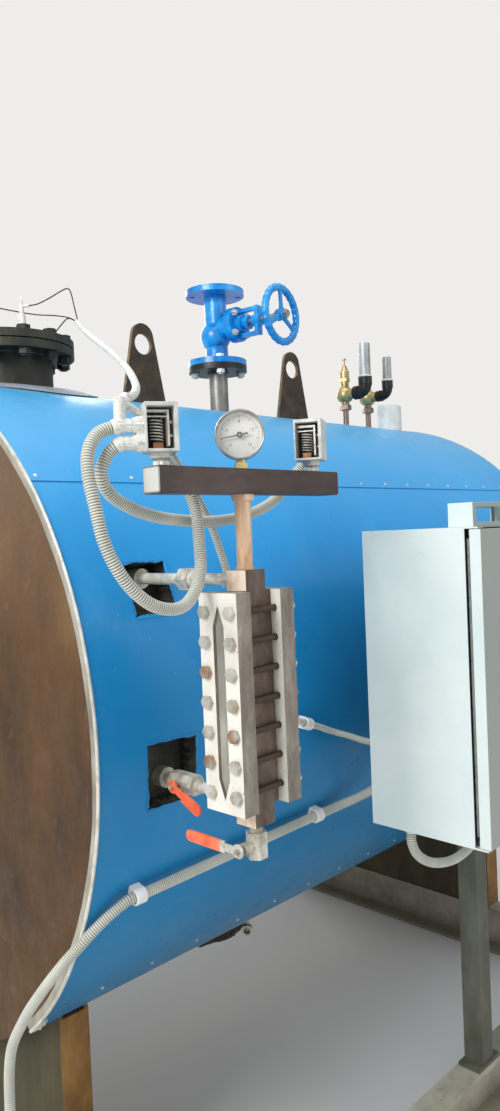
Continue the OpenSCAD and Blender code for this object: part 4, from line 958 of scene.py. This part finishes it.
# ---------------------------------------------------------------- what a user may change
class BoilerStyle(bpy.types.PropertyGroup):
    """What a user may change"""
    lens: FloatProperty(
        name="Lens", description="Focal length of the camera", default=26.605, min=10,
        unit="CAMERA")
    floor_color: FloatVectorProperty(
        name="Floor", description="Colour of the floor and the backdrop", subtype="COLOR",
        size=3, default=(0.80, 0.79, 0.77), min=0, max=1)
    key_power: FloatProperty(
        name="Key light", description="Power of the main lamp", default=150.0, min=0,
        unit="POWER")
    rib_pitch: FloatProperty(
        name="Rib pitch", description="Distance between the conduits' ribs",
        default=0.0042, min=0.002, max=0.01, unit="LENGTH")
    rib_depth: FloatProperty(
        name="Rib depth", description="Depth of the conduits' grooves",
        default=0.0017, min=0, max=0.003, unit="LENGTH")
    screw_pitch: FloatProperty(
        name="Screw pitch", description="Distance between the sheets' screws",
        default=0.110, min=0.05, max=0.4, unit="LENGTH")
    trim_wave: FloatProperty(
        name="Trim wave", description="How wavy the end trim is",
        default=0.0022, min=0, max=0.006, unit="LENGTH")
    wheel_grips: IntProperty(
        name="Wheel grips", description="Number of low waves round the handwheel's rim",
        default=24, min=0, max=60)
    dial_marks: IntProperty(
        name="Dial marks", description="Number of marks on the pressure gauge", default=41,
        min=11, max=101)


class BOILER_OT_stage(bpy.types.Operator):
    """Sets the camera, the floor and the lights"""
    bl_idname = "boiler.stage"
    bl_label = "Stage"

    def execute(self, context):
        style = context.scene.boiler_style
        data = bpy.data.cameras.new("camera")
        data.sensor_width = 36
        data.lens = style.lens
        data.clip_end = 100
        cam = placed("camera", data)
        place = Matrix(CAMERA_TURN).to_4x4()
        place.translation = CAMERA_AT
        cam.matrix_world = place
        context.scene.camera = cam
        context.scene.view_settings.view_transform = "Standard"

        floor = bpy.data.materials.new("plain_floor")
        floor.use_nodes = True
        tree = floor.node_tree
        shader = tree.nodes["Principled BSDF"]
        shader.inputs["Base Color"].default_value = [*style.floor_color, 1]
        shader.inputs["Roughness"].default_value = 0.8
        mesh = bpy.data.meshes.new("floor")
        mesh.from_pydata([(-9, -9, 0), (9, -9, 0), (9, 9, 0), (-9, 9, 0)], [], [(0, 1, 2, 3)])
        mesh.materials.append(floor)
        placed("floor", mesh)

        world = bpy.data.worlds.new("studio")
        context.scene.world = world
        world.use_nodes = True
        tree = world.node_tree
        tree.nodes.clear()
        sky = add(tree, "ShaderNodeBackground", {
            "Color": (0.93, 0.96, 1.0, 1), "Strength": 0.55})
        shown = add(tree, "ShaderNodeBackground", {
            "Color": (0.86, 0.85, 0.83, 1), "Strength": 1.0})
        rays = add(tree, "ShaderNodeLightPath")
        seen = maths(tree, "MAXIMUM", rays.outputs["Is Camera Ray"],
                     rays.outputs["Is Transmission Ray"])
        both = add(tree, "ShaderNodeMixShader", {
            0: seen, 1: sky.outputs[0], 2: shown.outputs[0]})
        out = add(tree, "ShaderNodeOutputWorld")
        tree.links.new(both.outputs[0], out.inputs["Surface"])

        for name, where, aim, size, share, tint in (
                ("key", (-3.6, -1.0, 3.4), (0.5, -0.4, 1.2), 2.0, 1, (1, 0.98, 0.95)),
                ("side", (2.4, -4.6, 2.8), (0.6, -0.5, 1.0), 2.6, 0.20, (1, 0.99, 0.97)),
                ("top", (0.6, -0.4, 5.2), (0.7, 0, 1.5), 2.8, 0.36, (0.95, 0.98, 1)),
                ("back", (2.6, 4.8, 3.6), (0.8, 0, 1.2), 2.8, 0.5, (1, 1, 1))):
            lamp = bpy.data.lights.new(name, "AREA")
            lamp.size = size
            lamp.energy = style.key_power * share
            lamp.color = tint
            placed(name, lamp).matrix_world = looking(where, Vector(where) - Vector(aim))
        return {"FINISHED"}


class BOILER_OT_finishes(bpy.types.Operator):
    """Gives each CAD node the finish of the real piece"""
    bl_idname = "boiler.finishes"
    bl_label = "Finishes"

    def execute(self, context):
        build_finishes()
        for name, made in NODES.items():
            made.data.materials.clear()
            made.data.materials.append(FINISHES[NODE_FINISH[name]])
        return {"FINISHED"}


class BOILER_OT_conduits(bpy.types.Operator):
    """Makes the ribbed conduits, the probes' sleeve and its wires"""
    bl_idname = "boiler.conduits"
    bl_label = "Conduits"

    def execute(self, context):
        style = context.scene.boiler_style
        for name, route, r, nodes, sides in (
                ("conduit_big_loop", LOOP_A, 10, "conduit_loops", 14),
                ("conduit_low_loop", LOOP_B, 10, "conduit_loops", 14),
                ("conduit_under_cabinet", UNDER, 10, "conduit_loops", 14),
                ("conduit_long_run", RUN, 10, "conduit_runs", 14),
                ("conduit_thin_drop", DROP, 7, "conduit_runs", 12)):
            line, total = even_route(smooth_route(route, 2.0), style.rib_pitch / MM / 4)
            path = mesh_of(name, line, edges=[(i, i + 1) for i in range(len(line) - 1)])
            made = grown(name, path, ribbed_tree(), {
                "Radius": r * MM, "Depth": style.rib_depth * (r / 10), "Sides": sides,
                "Finish": FINISHES["conduit_pvc"]})
            outwards(made.data)
            finish_piece(made, "conduit_pvc")
            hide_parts(nodes)
            self.declare(made, line, total, 2 * r)
        line, total = even_route(smooth_route(LEAD, 4.0), 5)
        rng = random.Random(5)
        sleeve = tube(line, [7 + rng.uniform(-0.08, 0.08) for _ in line], 20)
        made = piece("probe_sleeve", [sleeve], "pale_sleeve")
        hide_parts("probe_lead")
        self.declare(made, line, total, 14)
        thick = 3.2
        for name, route in WIRES.items():
            line, total = even_route(smooth_route(route, 3.0), 4)
            made = piece(name, [tube(line, [thick / 2] * len(line), 8)], "black_wire")
            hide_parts("level_wires")
            self.declare(made, line, total, thick)
        return {"FINISHED"}

    def declare(self, made, line, total, thick):
        """Turns the route into points in metres, which nothing keeps."""
        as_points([p * MM for p in line[::2]] + [line[-1] * MM])


class BOILER_OT_trims(bpy.types.Operator):
    """Makes the wavy end trims, the flashing round the nozzle and the sheets' screws"""
    bl_idname = "boiler.trims"
    bl_label = "Trims"

    def execute(self, context):
        style = context.scene.boiler_style
        self.end_trims(style.trim_wave / MM)
        self.trim_tab()
        self.flashing()
        self.screws(style.screw_pitch / MM)
        return {"FINISHED"}

    def end_trims(self, wave):
        """A flat strip and a hem at either end, half a degree from row to row."""
        rows_round = 561
        for end, x, out, seed in (("front", FRONT_X, -1, 11), ("rear", REAR_X, 1, 12)):
            rng = random.Random(seed)
            phase = [rng.uniform(0, 6.28) for _ in range(6)]
            flats, hems = [], []
            for i in range(rows_round):
                angle = LOW_ANGLE + i / 2
                t = math.radians(angle)
                w = wave * (math.sin(5 * t + phase[0]) + 0.7 * math.sin(11 * t + phase[1])
                            + 0.5 * math.sin(23 * t + phase[2])) / 2.2
                lift = (math.sin(7 * t + phase[3]) + math.sin(31 * t + phase[4])
                        + math.sin(67 * t + phase[5])) / 2
                flats.append([on_shell(x + out * d, angle, r) for r, d in (
                    (732 + w, 0.3), (732 + w, 1.5 + 0.3 * lift), (740, 2.6 + 0.8 * lift),
                    (748, 1.9 + 0.3 * lift), (748, 0.3))])
                hems.append([on_shell(x + out * d, angle, r + 0.3 * w) for r, d in (
                    (746.6, 1.0), (746.8, 3.2 + 0.2 * lift), (748.6, 4.4 + 0.3 * lift),
                    (751.6, 4.2), (753.0, 2.6), (752.9, 0.3))])
            for part, rows, finish in (("strip", flats, "galvanised_strip"),
                                       ("edge", hems, "bright_zinc")):
                made = piece("%s_trim_%s" % (end, part), [ribbon(rows, out > 0)], finish,
                             smooth=False)
                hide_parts("end_trims")

    def trim_tab(self):
        """A bent scrap of strip at the front trim's lower end."""
        rng = random.Random(31)
        rows = []
        for i in range(9):
            angle = LOW_ANGLE + i * 0.42
            rows.append([on_shell(-99 + k * 3.2 + rng.uniform(-1, 1), angle,
                                  750.4 + (0 if k in (0, 5) else rng.uniform(0.8, 5.5)))
                         for k in range(6)]
                        + [on_shell(-83, angle, 750.2), on_shell(-99, angle, 750.2)])
        piece("trim_tab", [ribbon(rows, True)], "bright_zinc", smooth=False)

    def flashing(self):
        """A round hole about the nozzle in an oval sheet, domed between, with a black bead round
        its outer rim as a painted shadow line.
        """
        hole = 109
        rows, rim = [], []
        for t in turns(120, 121):
            inner = polar(hole, t, 0, NOZZLE_X)
            outer = Vector((FLASH_X + FLASH_LONG * math.cos(t), FLASH_WIDE * math.sin(t), 0))
            dome = min(1.0, (outer - inner).length / 60)
            row = []
            for share, up in ((1, 0.3), (1, 15), (0.55, 14), (0.3, 10.5), (0.1, 4.5),
                              (0.02, 2.6), (0, 1.6), (0, 0.3)):
                at = outer.lerp(inner, share)
                row.append(on_top(at.x, at.y, TOP_R + max(0.3, up * dome)))
            rows.append(row)
            rim.append(row[-1] + Vector((0, 0, 1.0)))
        piece("nozzle_collar", [ribbon(rows, False, closed=True)], "pale_sheet")
        # A black bead at the flashing's outer rim: painted shadow where the rim stands off the
        # sheet
        piece("collar_sealant", [tube(rim, [1.9] * len(rim), 8)], "black_wire")

    def screws(self, pitch):
        """Rows of screws along the sheets' seams, and a ring of them on the flashing."""
        places, aims = [], []
        for angle, r, start, step in ((41.0, TOP_R, -84, pitch), (139.0, TOP_R, -84, pitch),
                                      (-44.3, CLAD_R, 29, pitch + 16),
                                      (224.3, CLAD_R, 29, pitch + 16)):
            for k in range(int((REAR_X - 5 - start) / step) + 1):
                places.append(on_shell(start + k * step, angle, r))
                aims.append(out_at(angle))
        for k in range(8):
            t = math.radians(22.5 + 45 * k)
            at = on_top(FLASH_X + (FLASH_LONG - 9) * math.cos(t),
                        (FLASH_WIDE - 10) * math.sin(t), TOP_R + 2.6)
            places.append(at)
            aims.append(Vector((0, at.y, at.z - AXIS_Z)).normalized())
        scatter("sheet_screws", places, aims, screw_head(2.6), "bright_zinc",
                seed=7)


class BOILER_OT_openings(bpy.types.Operator):
    """Makes the openings' torn edges and wool, a hanging rag of wool and the drain nipple"""
    bl_idname = "boiler.openings"
    bl_label = "Openings"

    def execute(self, context):
        rng = random.Random(21)
        lips, wool = [], []
        for opening in OPENINGS:
            rows, ring = [], []
            deep = 2.0
            for x, z, inward in self.outline(*opening):
                def near(off, r):
                    up = z + inward.y * off
                    return Vector((x + inward.x * off, -math.sqrt(r * r - up * up),
                                   AXIS_Z + up))

                deep = min(5.0, max(0.6, deep + rng.uniform(-1.1, 1.1)))
                drop = rng.uniform(0, 1.6)
                rows.append([near(off, r) for off, r in (
                    (-2.2, 750.2), (-2.2, 751.1), (deep, 750.2 - drop),
                    (deep - 0.5, 748.9 - drop))])
                bulge = []
                size = rng.uniform(9, 17)
                for t in turns(9):
                    off = -6 + size * math.cos(t) + rng.uniform(-2, 2)
                    bulge.append(near(off, 724 + 18 * math.sin(t) + rng.uniform(-3, 3)))
                ring.append(bulge)
            lips.append(ribbon(rows + rows[:1], False, closed=True))
            wool.append(ribbon(ring + ring[:1], False, closed=True))
        hang = []
        for k in range(46):
            t = k / 45
            x = 415 + 140 * t + rng.uniform(-1.5, 1.5)
            deep = 5 + 11 * math.sin(math.pi * t ** 1.6) * rng.uniform(0.7, 1.2)
            hang.append([on_shell(x, -58 + a, 746 + b * deep) for a, b in (
                (0.9, 0), (0.9, 0.7), (0.4, 1), (-0.5, 0.95), (-1.0, 0.6), (-1.0, 0))])
        wool.append(ribbon(hang, True))
        piece("torn_sheet_edges", lips, "coated_sheet", smooth=False)
        piece("wool_tufts", wool, "slag_wool", smooth=False)
        self.drain_nipple()
        return {"FINISHED"}

    def outline(self, x, z, wide, high):
        """Points round an opening, each with the direction into it."""
        for (ax, az), (bx, bz) in (((-1, -1), (1, -1)), ((1, -1), (1, 1)),
                                   ((1, 1), (-1, 1)), ((-1, 1), (-1, -1))):
            inward = Vector((-(ax == bx) * ax, -(az == bz) * az))
            for k in range(24):
                t = k / 24
                yield (x + wide / 2 * (ax + (bx - ax) * t), z + high / 2 * (az + (bz - az) * t),
                       inward)

    def drain_nipple(self):
        """A short pipe low on the near side, its open elbow turned to the front."""
        angle = -58.5
        root, out = on_shell(575, angle, 746), out_at(angle)
        elbow = looking(root + out * 16, Vector((-0.80, -0.58, 0.12)).normalized())
        made = piece("drain_nipple", [
            turned([(8, 0), (8, 16)], 20, looking(root, out)),
            turned([(0.5, -11), (7, -9), (11, -3), (11.5, 3), (10.5, 6), (12.6, 7), (12.6, 17),
                    (11.6, 18), (8.6, 18), (8.6, 8), (0.5, 7.5)], 24, elbow)],
            "pale_fittings")
        made.data.set_sharp_from_angle(angle=math.radians(40))


class BOILER_OT_welds(bpy.types.Operator):
    """Lays the weld beads of the nozzle, the riser, the saddles and the skid"""
    bl_idname = "boiler.welds"
    bl_label = "Weld beads"

    def execute(self, context):
        rng = random.Random(41)
        round_bead, saddle_bead, skid_bead = 4.0, 3.2, 3.6
        lines = []
        for x, z, r in ((NOZZLE_X, 1962, 107.6), (RISER_X, 2009, 30.6)):
            ring = [polar(r, t, z, x) for t in turns(2 * r, int(2 * r) + 3)]
            lines.append((ring, round_bead))
        # Either side of each saddle on its cross member, and at that member's ends
        for x, inset in ((-34.0, -1.5), (34.0, 1.5), (1666.0, -1.5), (1734.0, 1.5)):
            foot = [Vector((x, y, MEMBER_TOP)) for y in range(-474, 475, 3)]
            lines.append((foot, saddle_bead))
            for side in (-MEMBER_END, MEMBER_END):
                edge = [Vector((x - inset, side, z)) for z in range(12, 150, 3)]
                lines.append((edge, skid_bead))
        parts = []
        for line, r in lines:
            radii = [r * (1 + 0.12 * math.sin(2.1 * i) + rng.uniform(-0.08, 0.08))
                     for i in range(len(line))]
            parts.append(tube(line, radii, 8))
        piece("weld_beads", parts, "weld_bead")
        return {"FINISHED"}


class BOILER_OT_switches(bpy.types.Operator):
    """Fits the insides, the bellows and the taped joints of the pressure switches"""
    bl_idname = "boiler.switches"
    bl_label = "Pressure switches"

    def execute(self, context):
        black, bright, copper = [], [], []
        for x, turn in SWITCHES:
            place = (Matrix.Translation((x, SWITCH_Y, SWITCH_Z))
                     @ Matrix.Rotation(math.radians(-turn), 4, "Z")
                     @ Matrix.Rotation(math.radians(90), 4, "X"))
            upward = Matrix.Rotation(math.radians(-90), 4, "X")
            for group, low, high in (
                    (black, (-21.8, -32.2, -11.9), (18.8, 30.2, -9.5)),
                    (black, (13.6, -24, -9.6), (18.4, 18, 9)),
                    (bright, (9.6, -28, -9.6), (12.6, 26, 17)),
                    (bright, (-20, 22.5, -9.6), (9.7, 26.5, 13)),
                    (bright, (-21.5, 15.4, 4), (9.7, 17.2, 13)),
                    (copper, (-12, -32, -9.6), (3, -22.5, 12))):
                points, sides = block(low, high)
                group.append(([place @ p for p in points], sides))
            for at in ((16, 8, 9), (16, -12, 9), (-15, 26.5, 2), (0, 26.5, 2)):
                screw = place @ Matrix.Translation(at)
                if at[1] > 20:
                    screw = screw @ upward
                bright.append(turned([(2.2, 0), (2.2, 1.4), (0.6, 1.9)], 10, screw))
            black.append(turned([(5.6, -22), (5.6, 22)], 16,
                                place @ Matrix.Translation((-5, 0, 2)) @ upward))
            wound = 14 * math.pi
            coil = [place @ Vector((-5 + 9.4 * math.cos(t), -19 + 33 * t / wound,
                                    2 + 9.4 * math.sin(t)))
                    for t in (wound * i / 170 for i in range(171))]
            bright.append(tube(coil, [1.15] * len(coil), 6))
            stand = Matrix.Translation((x, SWITCH_Y, 0))
            bright.append(turned([
                (14.4, 1606.4), (15.9, 1607.4), (15.15, 1608.9), (15.9, 1610.4),
                (15.15, 1611.9), (15.9, 1613.4), (15.15, 1614.8), (15.0, 1615.9)], 28, stand))
            bright.append(turned([
                (12.6, 1596.1), (13.2, 1597.0), (13.2, 1602.0), (12.4, 1603.3)], 6, stand))
        for name, parts, finish, slot in (
                ("switch_black_parts", black, "phenolic", "black_steel"),
                ("switch_bright_parts", bright, "bright_zinc", "zinc_steel"),
                ("switch_copper_parts", copper, "copper_bellows", "brass")):
            piece(name, parts, finish, smooth=False)
        self.taped_joints()
        piece("thread_tape", [
            turned([(r - 2, 2050.5), (r + 0.6, 2051.5), (r + 0.9, 2054), (r + 0.5, 2056.5),
                    (r - 2, 2057.5)], 32, Matrix.Translation((x, OUTLET_Y, 0)))
            for x, r in OUTLETS], "white_tape")
        return {"FINISHED"}

    def taped_joints(self):
        """Lumpy windings of tape where cords meet the left switch, and a twist to its side."""
        rng = random.Random(51)
        parts = []
        for line, length, r in (
                (smooth_route(LOOP_A[:6], 2.5), 34, 11.2),
                (smooth_route(LOOP_B[:6], 2.5), 30, 11.1),
                ([Vector((-149, -920, z)) for z in range(1662, 1702, 2)], 99, 8.6),
                (smooth_route(LEAD[::-1], 2.5), 30, 8.4)):
            even = even_route(line, 2.0)[0][:int(length / 2)]
            swell = 0.0
            radii = []
            for i in range(len(even)):
                swell = min(1.0, max(-0.6, swell + rng.uniform(-0.8, 0.8)))
                radii.append(r + swell - (1.4 if i in (0, len(even) - 1) else 0))
            parts.append(tube(even, radii, 12))
        line = even_route(smooth_route([
            (-137, -913, 1691.5), (-128, -915.5, 1687), (-119, -919.5, 1680.5),
            (-111, -923.5, 1674)], 2.0), 3.0)[0]
        parts.append(tube(line, [6.4] * len(line), 12))
        piece("taped_joints", parts, "white_tape")


class BOILER_OT_valve(bpy.types.Operator):
    """Makes the cast handwheel, the bonnet's nuts and the probes' insulators"""
    bl_idname = "boiler.valve"
    bl_label = "Stop valve and probes"

    def execute(self, context):
        stem = (Matrix.Translation((RISER_X, 0, STEM_Z))
                @ Matrix.Rotation(math.radians(STEM_TURN), 4, "Z")
                @ Matrix.Rotation(math.radians(90), 4, "X"))
        self.handwheel(stem, context.scene.boiler_style.wheel_grips)
        nuts = []
        for k in range(4):
            place = stem @ Matrix.Translation(polar(42.5, math.radians(45 + 90 * k), 93))
            nuts.append(turned([(9.2, 0), (10.4, 1.0), (10.4, 10.6), (9.2, 11.8),
                                (5.4, 11.8)], 6, place))
            nuts.append(turned([(4.8, 11), (4.8, 16.4), (4.0, 17.4)], 14, place))
        piece("bonnet_nuts", nuts, "bright_zinc", smooth=False)
        piece("probe_insulators", [turned([
            (13.6, 14), (14.4, 15), (14.4, 21), (12.6, 23.5), (13.2, 26), (13.0, 30),
            (11.2, 32.5), (11.8, 35), (11.4, 39), (9.8, 43), (9.6, 60), (8.0, 64),
            (6.2, 68), (5.4, 90), (3.6, 96), (2.5, 111)], 28,
            Matrix.Translation((x, y, PROBE_SEAT)))
            for x, y in PROBES], "porcelain")
        return {"FINISHED"}

    def handwheel(self, stem, grips):
        """A cast rim with low waves, three waisted spokes and a hub, about the stem."""
        rim, bar, up, hub = 80.6, 11.2, 251, 13
        rows = []
        for t in turns(192, 193):
            grip = math.sin(grips * t)
            rows.append([stem @ polar(rim + (bar + grip) * math.cos(u), t,
                                      up + (bar + 0.3 * grip) * math.sin(u))
                         for u in turns(16)])
        parts = [ribbon(rows, False, closed=True)]
        for turn in (90, 210, 330):
            t = math.radians(turn)
            side = Vector((-math.sin(t), math.cos(t), 0))
            rows = []
            for i in range(13):
                k = i / 12
                wide = 10.2 - 2.2 * math.sin(math.pi * k) + 1.6 * max(0, k - 0.8) * 5
                deep = 6.0 - 1.2 * math.sin(math.pi * k)
                at = polar(hub + k * (rim - hub), t, up + 1.5 * (1 - k))
                rows.append([stem @ (at + side * wide * math.cos(u)
                                     + Vector((0, 0, deep * math.sin(u))))
                             for u in turns(12)])
            parts.append(ribbon(rows, False))
        parts.append(turned([(9.1, 238), (16.5, 238), (18, 239.6), (18, 245), (17, 251),
                             (18, 257), (18, 262), (16.5, 264), (9.1, 264)], 36, stem))
        made = piece("handwheel_cast", parts, "blue_enamel", body="wheel")
        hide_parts("handwheel")


class BOILER_OT_cabinet(bpy.types.Operator):
    """Fits the cabinet's seal and its door's locks"""
    bl_idname = "boiler.cabinet"
    bl_label = "Cabinet"

    def execute(self, context):
        low, high = (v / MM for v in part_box("cabinet"))
        x0, x1, z0, z1 = low[0] + 4, high[0] - 4, low[2] + 5, high[2] - 5
        back, front, wide = -1127.5, -1133.5, 11
        seal = piece("door_seal", [
            block((x0 + 10, front, z0), (x1, back, z0 + wide)),
            block((x0 + 10, front, z1 - wide), (x1, back, z1)),
            block((x0 + 4, front, z0 + 16), (x0 + 4 + wide, back, z1 - 16)),
            block((x1 - wide, front, z0 + wide), (x1, back, z1 - wide))],
            "foam_seal")
        bevel(seal, 1.6)
        piece("door_locks", [turned([
            (13, 0), (13, 1.4), (11.6, 2.4), (7.4, 2.4), (7.0, 1.4), (2.6, 1.4), (2.2, 2.2),
            (0.4, 2.2)], 28, looking((x1 - 36, -1160.8, z), (0, -1, 0)))
            for z in (z0 + 130, z1 - 130)], "bright_zinc", body="door")
        return {"FINISHED"}


# CAD nodes whose edges are rounded, with the width in millimetres
ROUNDED = (
    ("gauge_covers", 1.4), ("gauge_body", 1.6), ("manifold", 3.2), ("saddles", 1.2),
    ("lifting_lugs", 1.8), ("skid_beams", 2.4), ("crossmembers", 2.4), ("probe_cover", 1.8),
    ("pressure_switches", 0.7), ("branch_lever", 1.1), ("drain_lever", 1.1),
    ("gauge_bolt_set", 0.7), ("nozzle_bolt_set", 1.0), ("valve_bolt_set", 0.9),
    ("cabinet_door", 0.7), ("cabinet_hood", 1.0), ("valve_body", 1.6), ("valve_bonnet", 1.4),
    ("conduit_clamps", 1.2))


class BOILER_OT_edges(bpy.types.Operator):
    """Rounds the edges of the CAD pieces that show most"""
    bl_idname = "boiler.edges"
    bl_label = "Rounded edges"

    def execute(self, context):
        for node, width in ROUNDED:
            rounded(node, width)
        return {"FINISHED"}


class BOILER_OT_dial(bpy.types.Operator):
    """Makes the pressure gauge's dial, marks and rim"""
    bl_idname = "boiler.dial"
    bl_label = "Dial"

    def execute(self, context):
        place = looking(DIAL_AT, (-0.7071, -0.7071, 0))
        first, sweep, face = 225, 270, 2.6
        piece("dial_plate", [turned([(0.01, 2.2), (37.2, 2.2), (37.2, face), (0.01, face)],
                                    48, place)], "dial_paint", smooth=False)
        count = context.scene.boiler_style.dial_marks
        marks = []
        for k in range(count):
            turn = place @ Matrix.Rotation(math.radians(first - sweep * k / (count - 1)), 4, "Z")
            long, half = (4.5, 0.5) if k % 5 == 0 else (2.4, 0.28)
            points, sides = block((33.0 - long, -half, face), (33.0, half, 2.75))
            marks.append(([turn @ p for p in points], sides))
        piece("dial_marks", marks, "dial_ink", smooth=False)
        figures = []
        for k in range(5):
            turn = math.radians(first - sweep * k / 4)
            words = bpy.data.curves.new("figure", "FONT")
            words.body = str(4 * k)
            words.size = 7.0
            words.align_x = "CENTER"
            words.align_y = "CENTER"
            words.extrude = 0.06
            words.resolution_u = 3
            host = placed("figure", words)
            mesh = bpy.data.meshes.new_from_object(host)
            at = place @ Matrix.Translation(polar(22.5, turn, 2.66))
            figures.append(([at @ v.co for v in mesh.vertices],
                            [tuple(p.vertices) for p in mesh.polygons]))
            bpy.data.objects.remove(host)
        piece("dial_figures", figures, "dial_ink", smooth=False)
        # The profile closes on itself, so the rim has no end faces
        points, sides = turned([
            (37.9, 16.2), (38.3, 17.4), (40.2, 18.0), (41.2, 17.0), (41.2, 12.0), (40.6, 11.6),
            (40.6, 11.4), (37.9, 14.6), (37.9, 16.2)], 64, place)
        piece("dial_rim", [(points, sides[:-2])], "bright_steel")
        return {"FINISHED"}


# The operators, in the order that main() calls them
PIECES = ("stage", "finishes", "conduits", "trims", "openings", "welds", "switches", "dial",
          "valve", "cabinet", "edges")


class BOILER_PT_panel(bpy.types.Panel):
    """Lists what dresses the boiler"""
    bl_idname = "BOILER_PT_panel"
    bl_label = "Boiler"
    bl_space_type = "VIEW_3D"
    bl_region_type = "UI"
    bl_category = "Boiler"

    def draw(self, context):
        style = context.scene.boiler_style
        for key in style.__annotations__:
            self.layout.prop(style, key)
        for name in PIECES:
            self.layout.operator("boiler." + name)


CLASSES = (BoilerStyle, BOILER_OT_stage, BOILER_OT_finishes, BOILER_OT_conduits,
           BOILER_OT_trims, BOILER_OT_openings, BOILER_OT_welds, BOILER_OT_switches,
           BOILER_OT_dial, BOILER_OT_valve, BOILER_OT_cabinet, BOILER_OT_edges, BOILER_PT_panel)


def register():
    """Adds the classes and the style to Blender."""
    for made in CLASSES:
        bpy.utils.register_class(made)
    bpy.types.Scene.boiler_style = PointerProperty(type=BoilerStyle)


def unregister():
    """Takes the style and the classes out again."""
    del bpy.types.Scene.boiler_style
    for made in reversed(CLASSES):
        bpy.utils.unregister_class(made)


def main():
    """Registers the classes and dresses the boiler."""
    register()
    for name in PIECES:
        getattr(bpy.ops.boiler, name)()


if __name__ == "__main__":
    main()
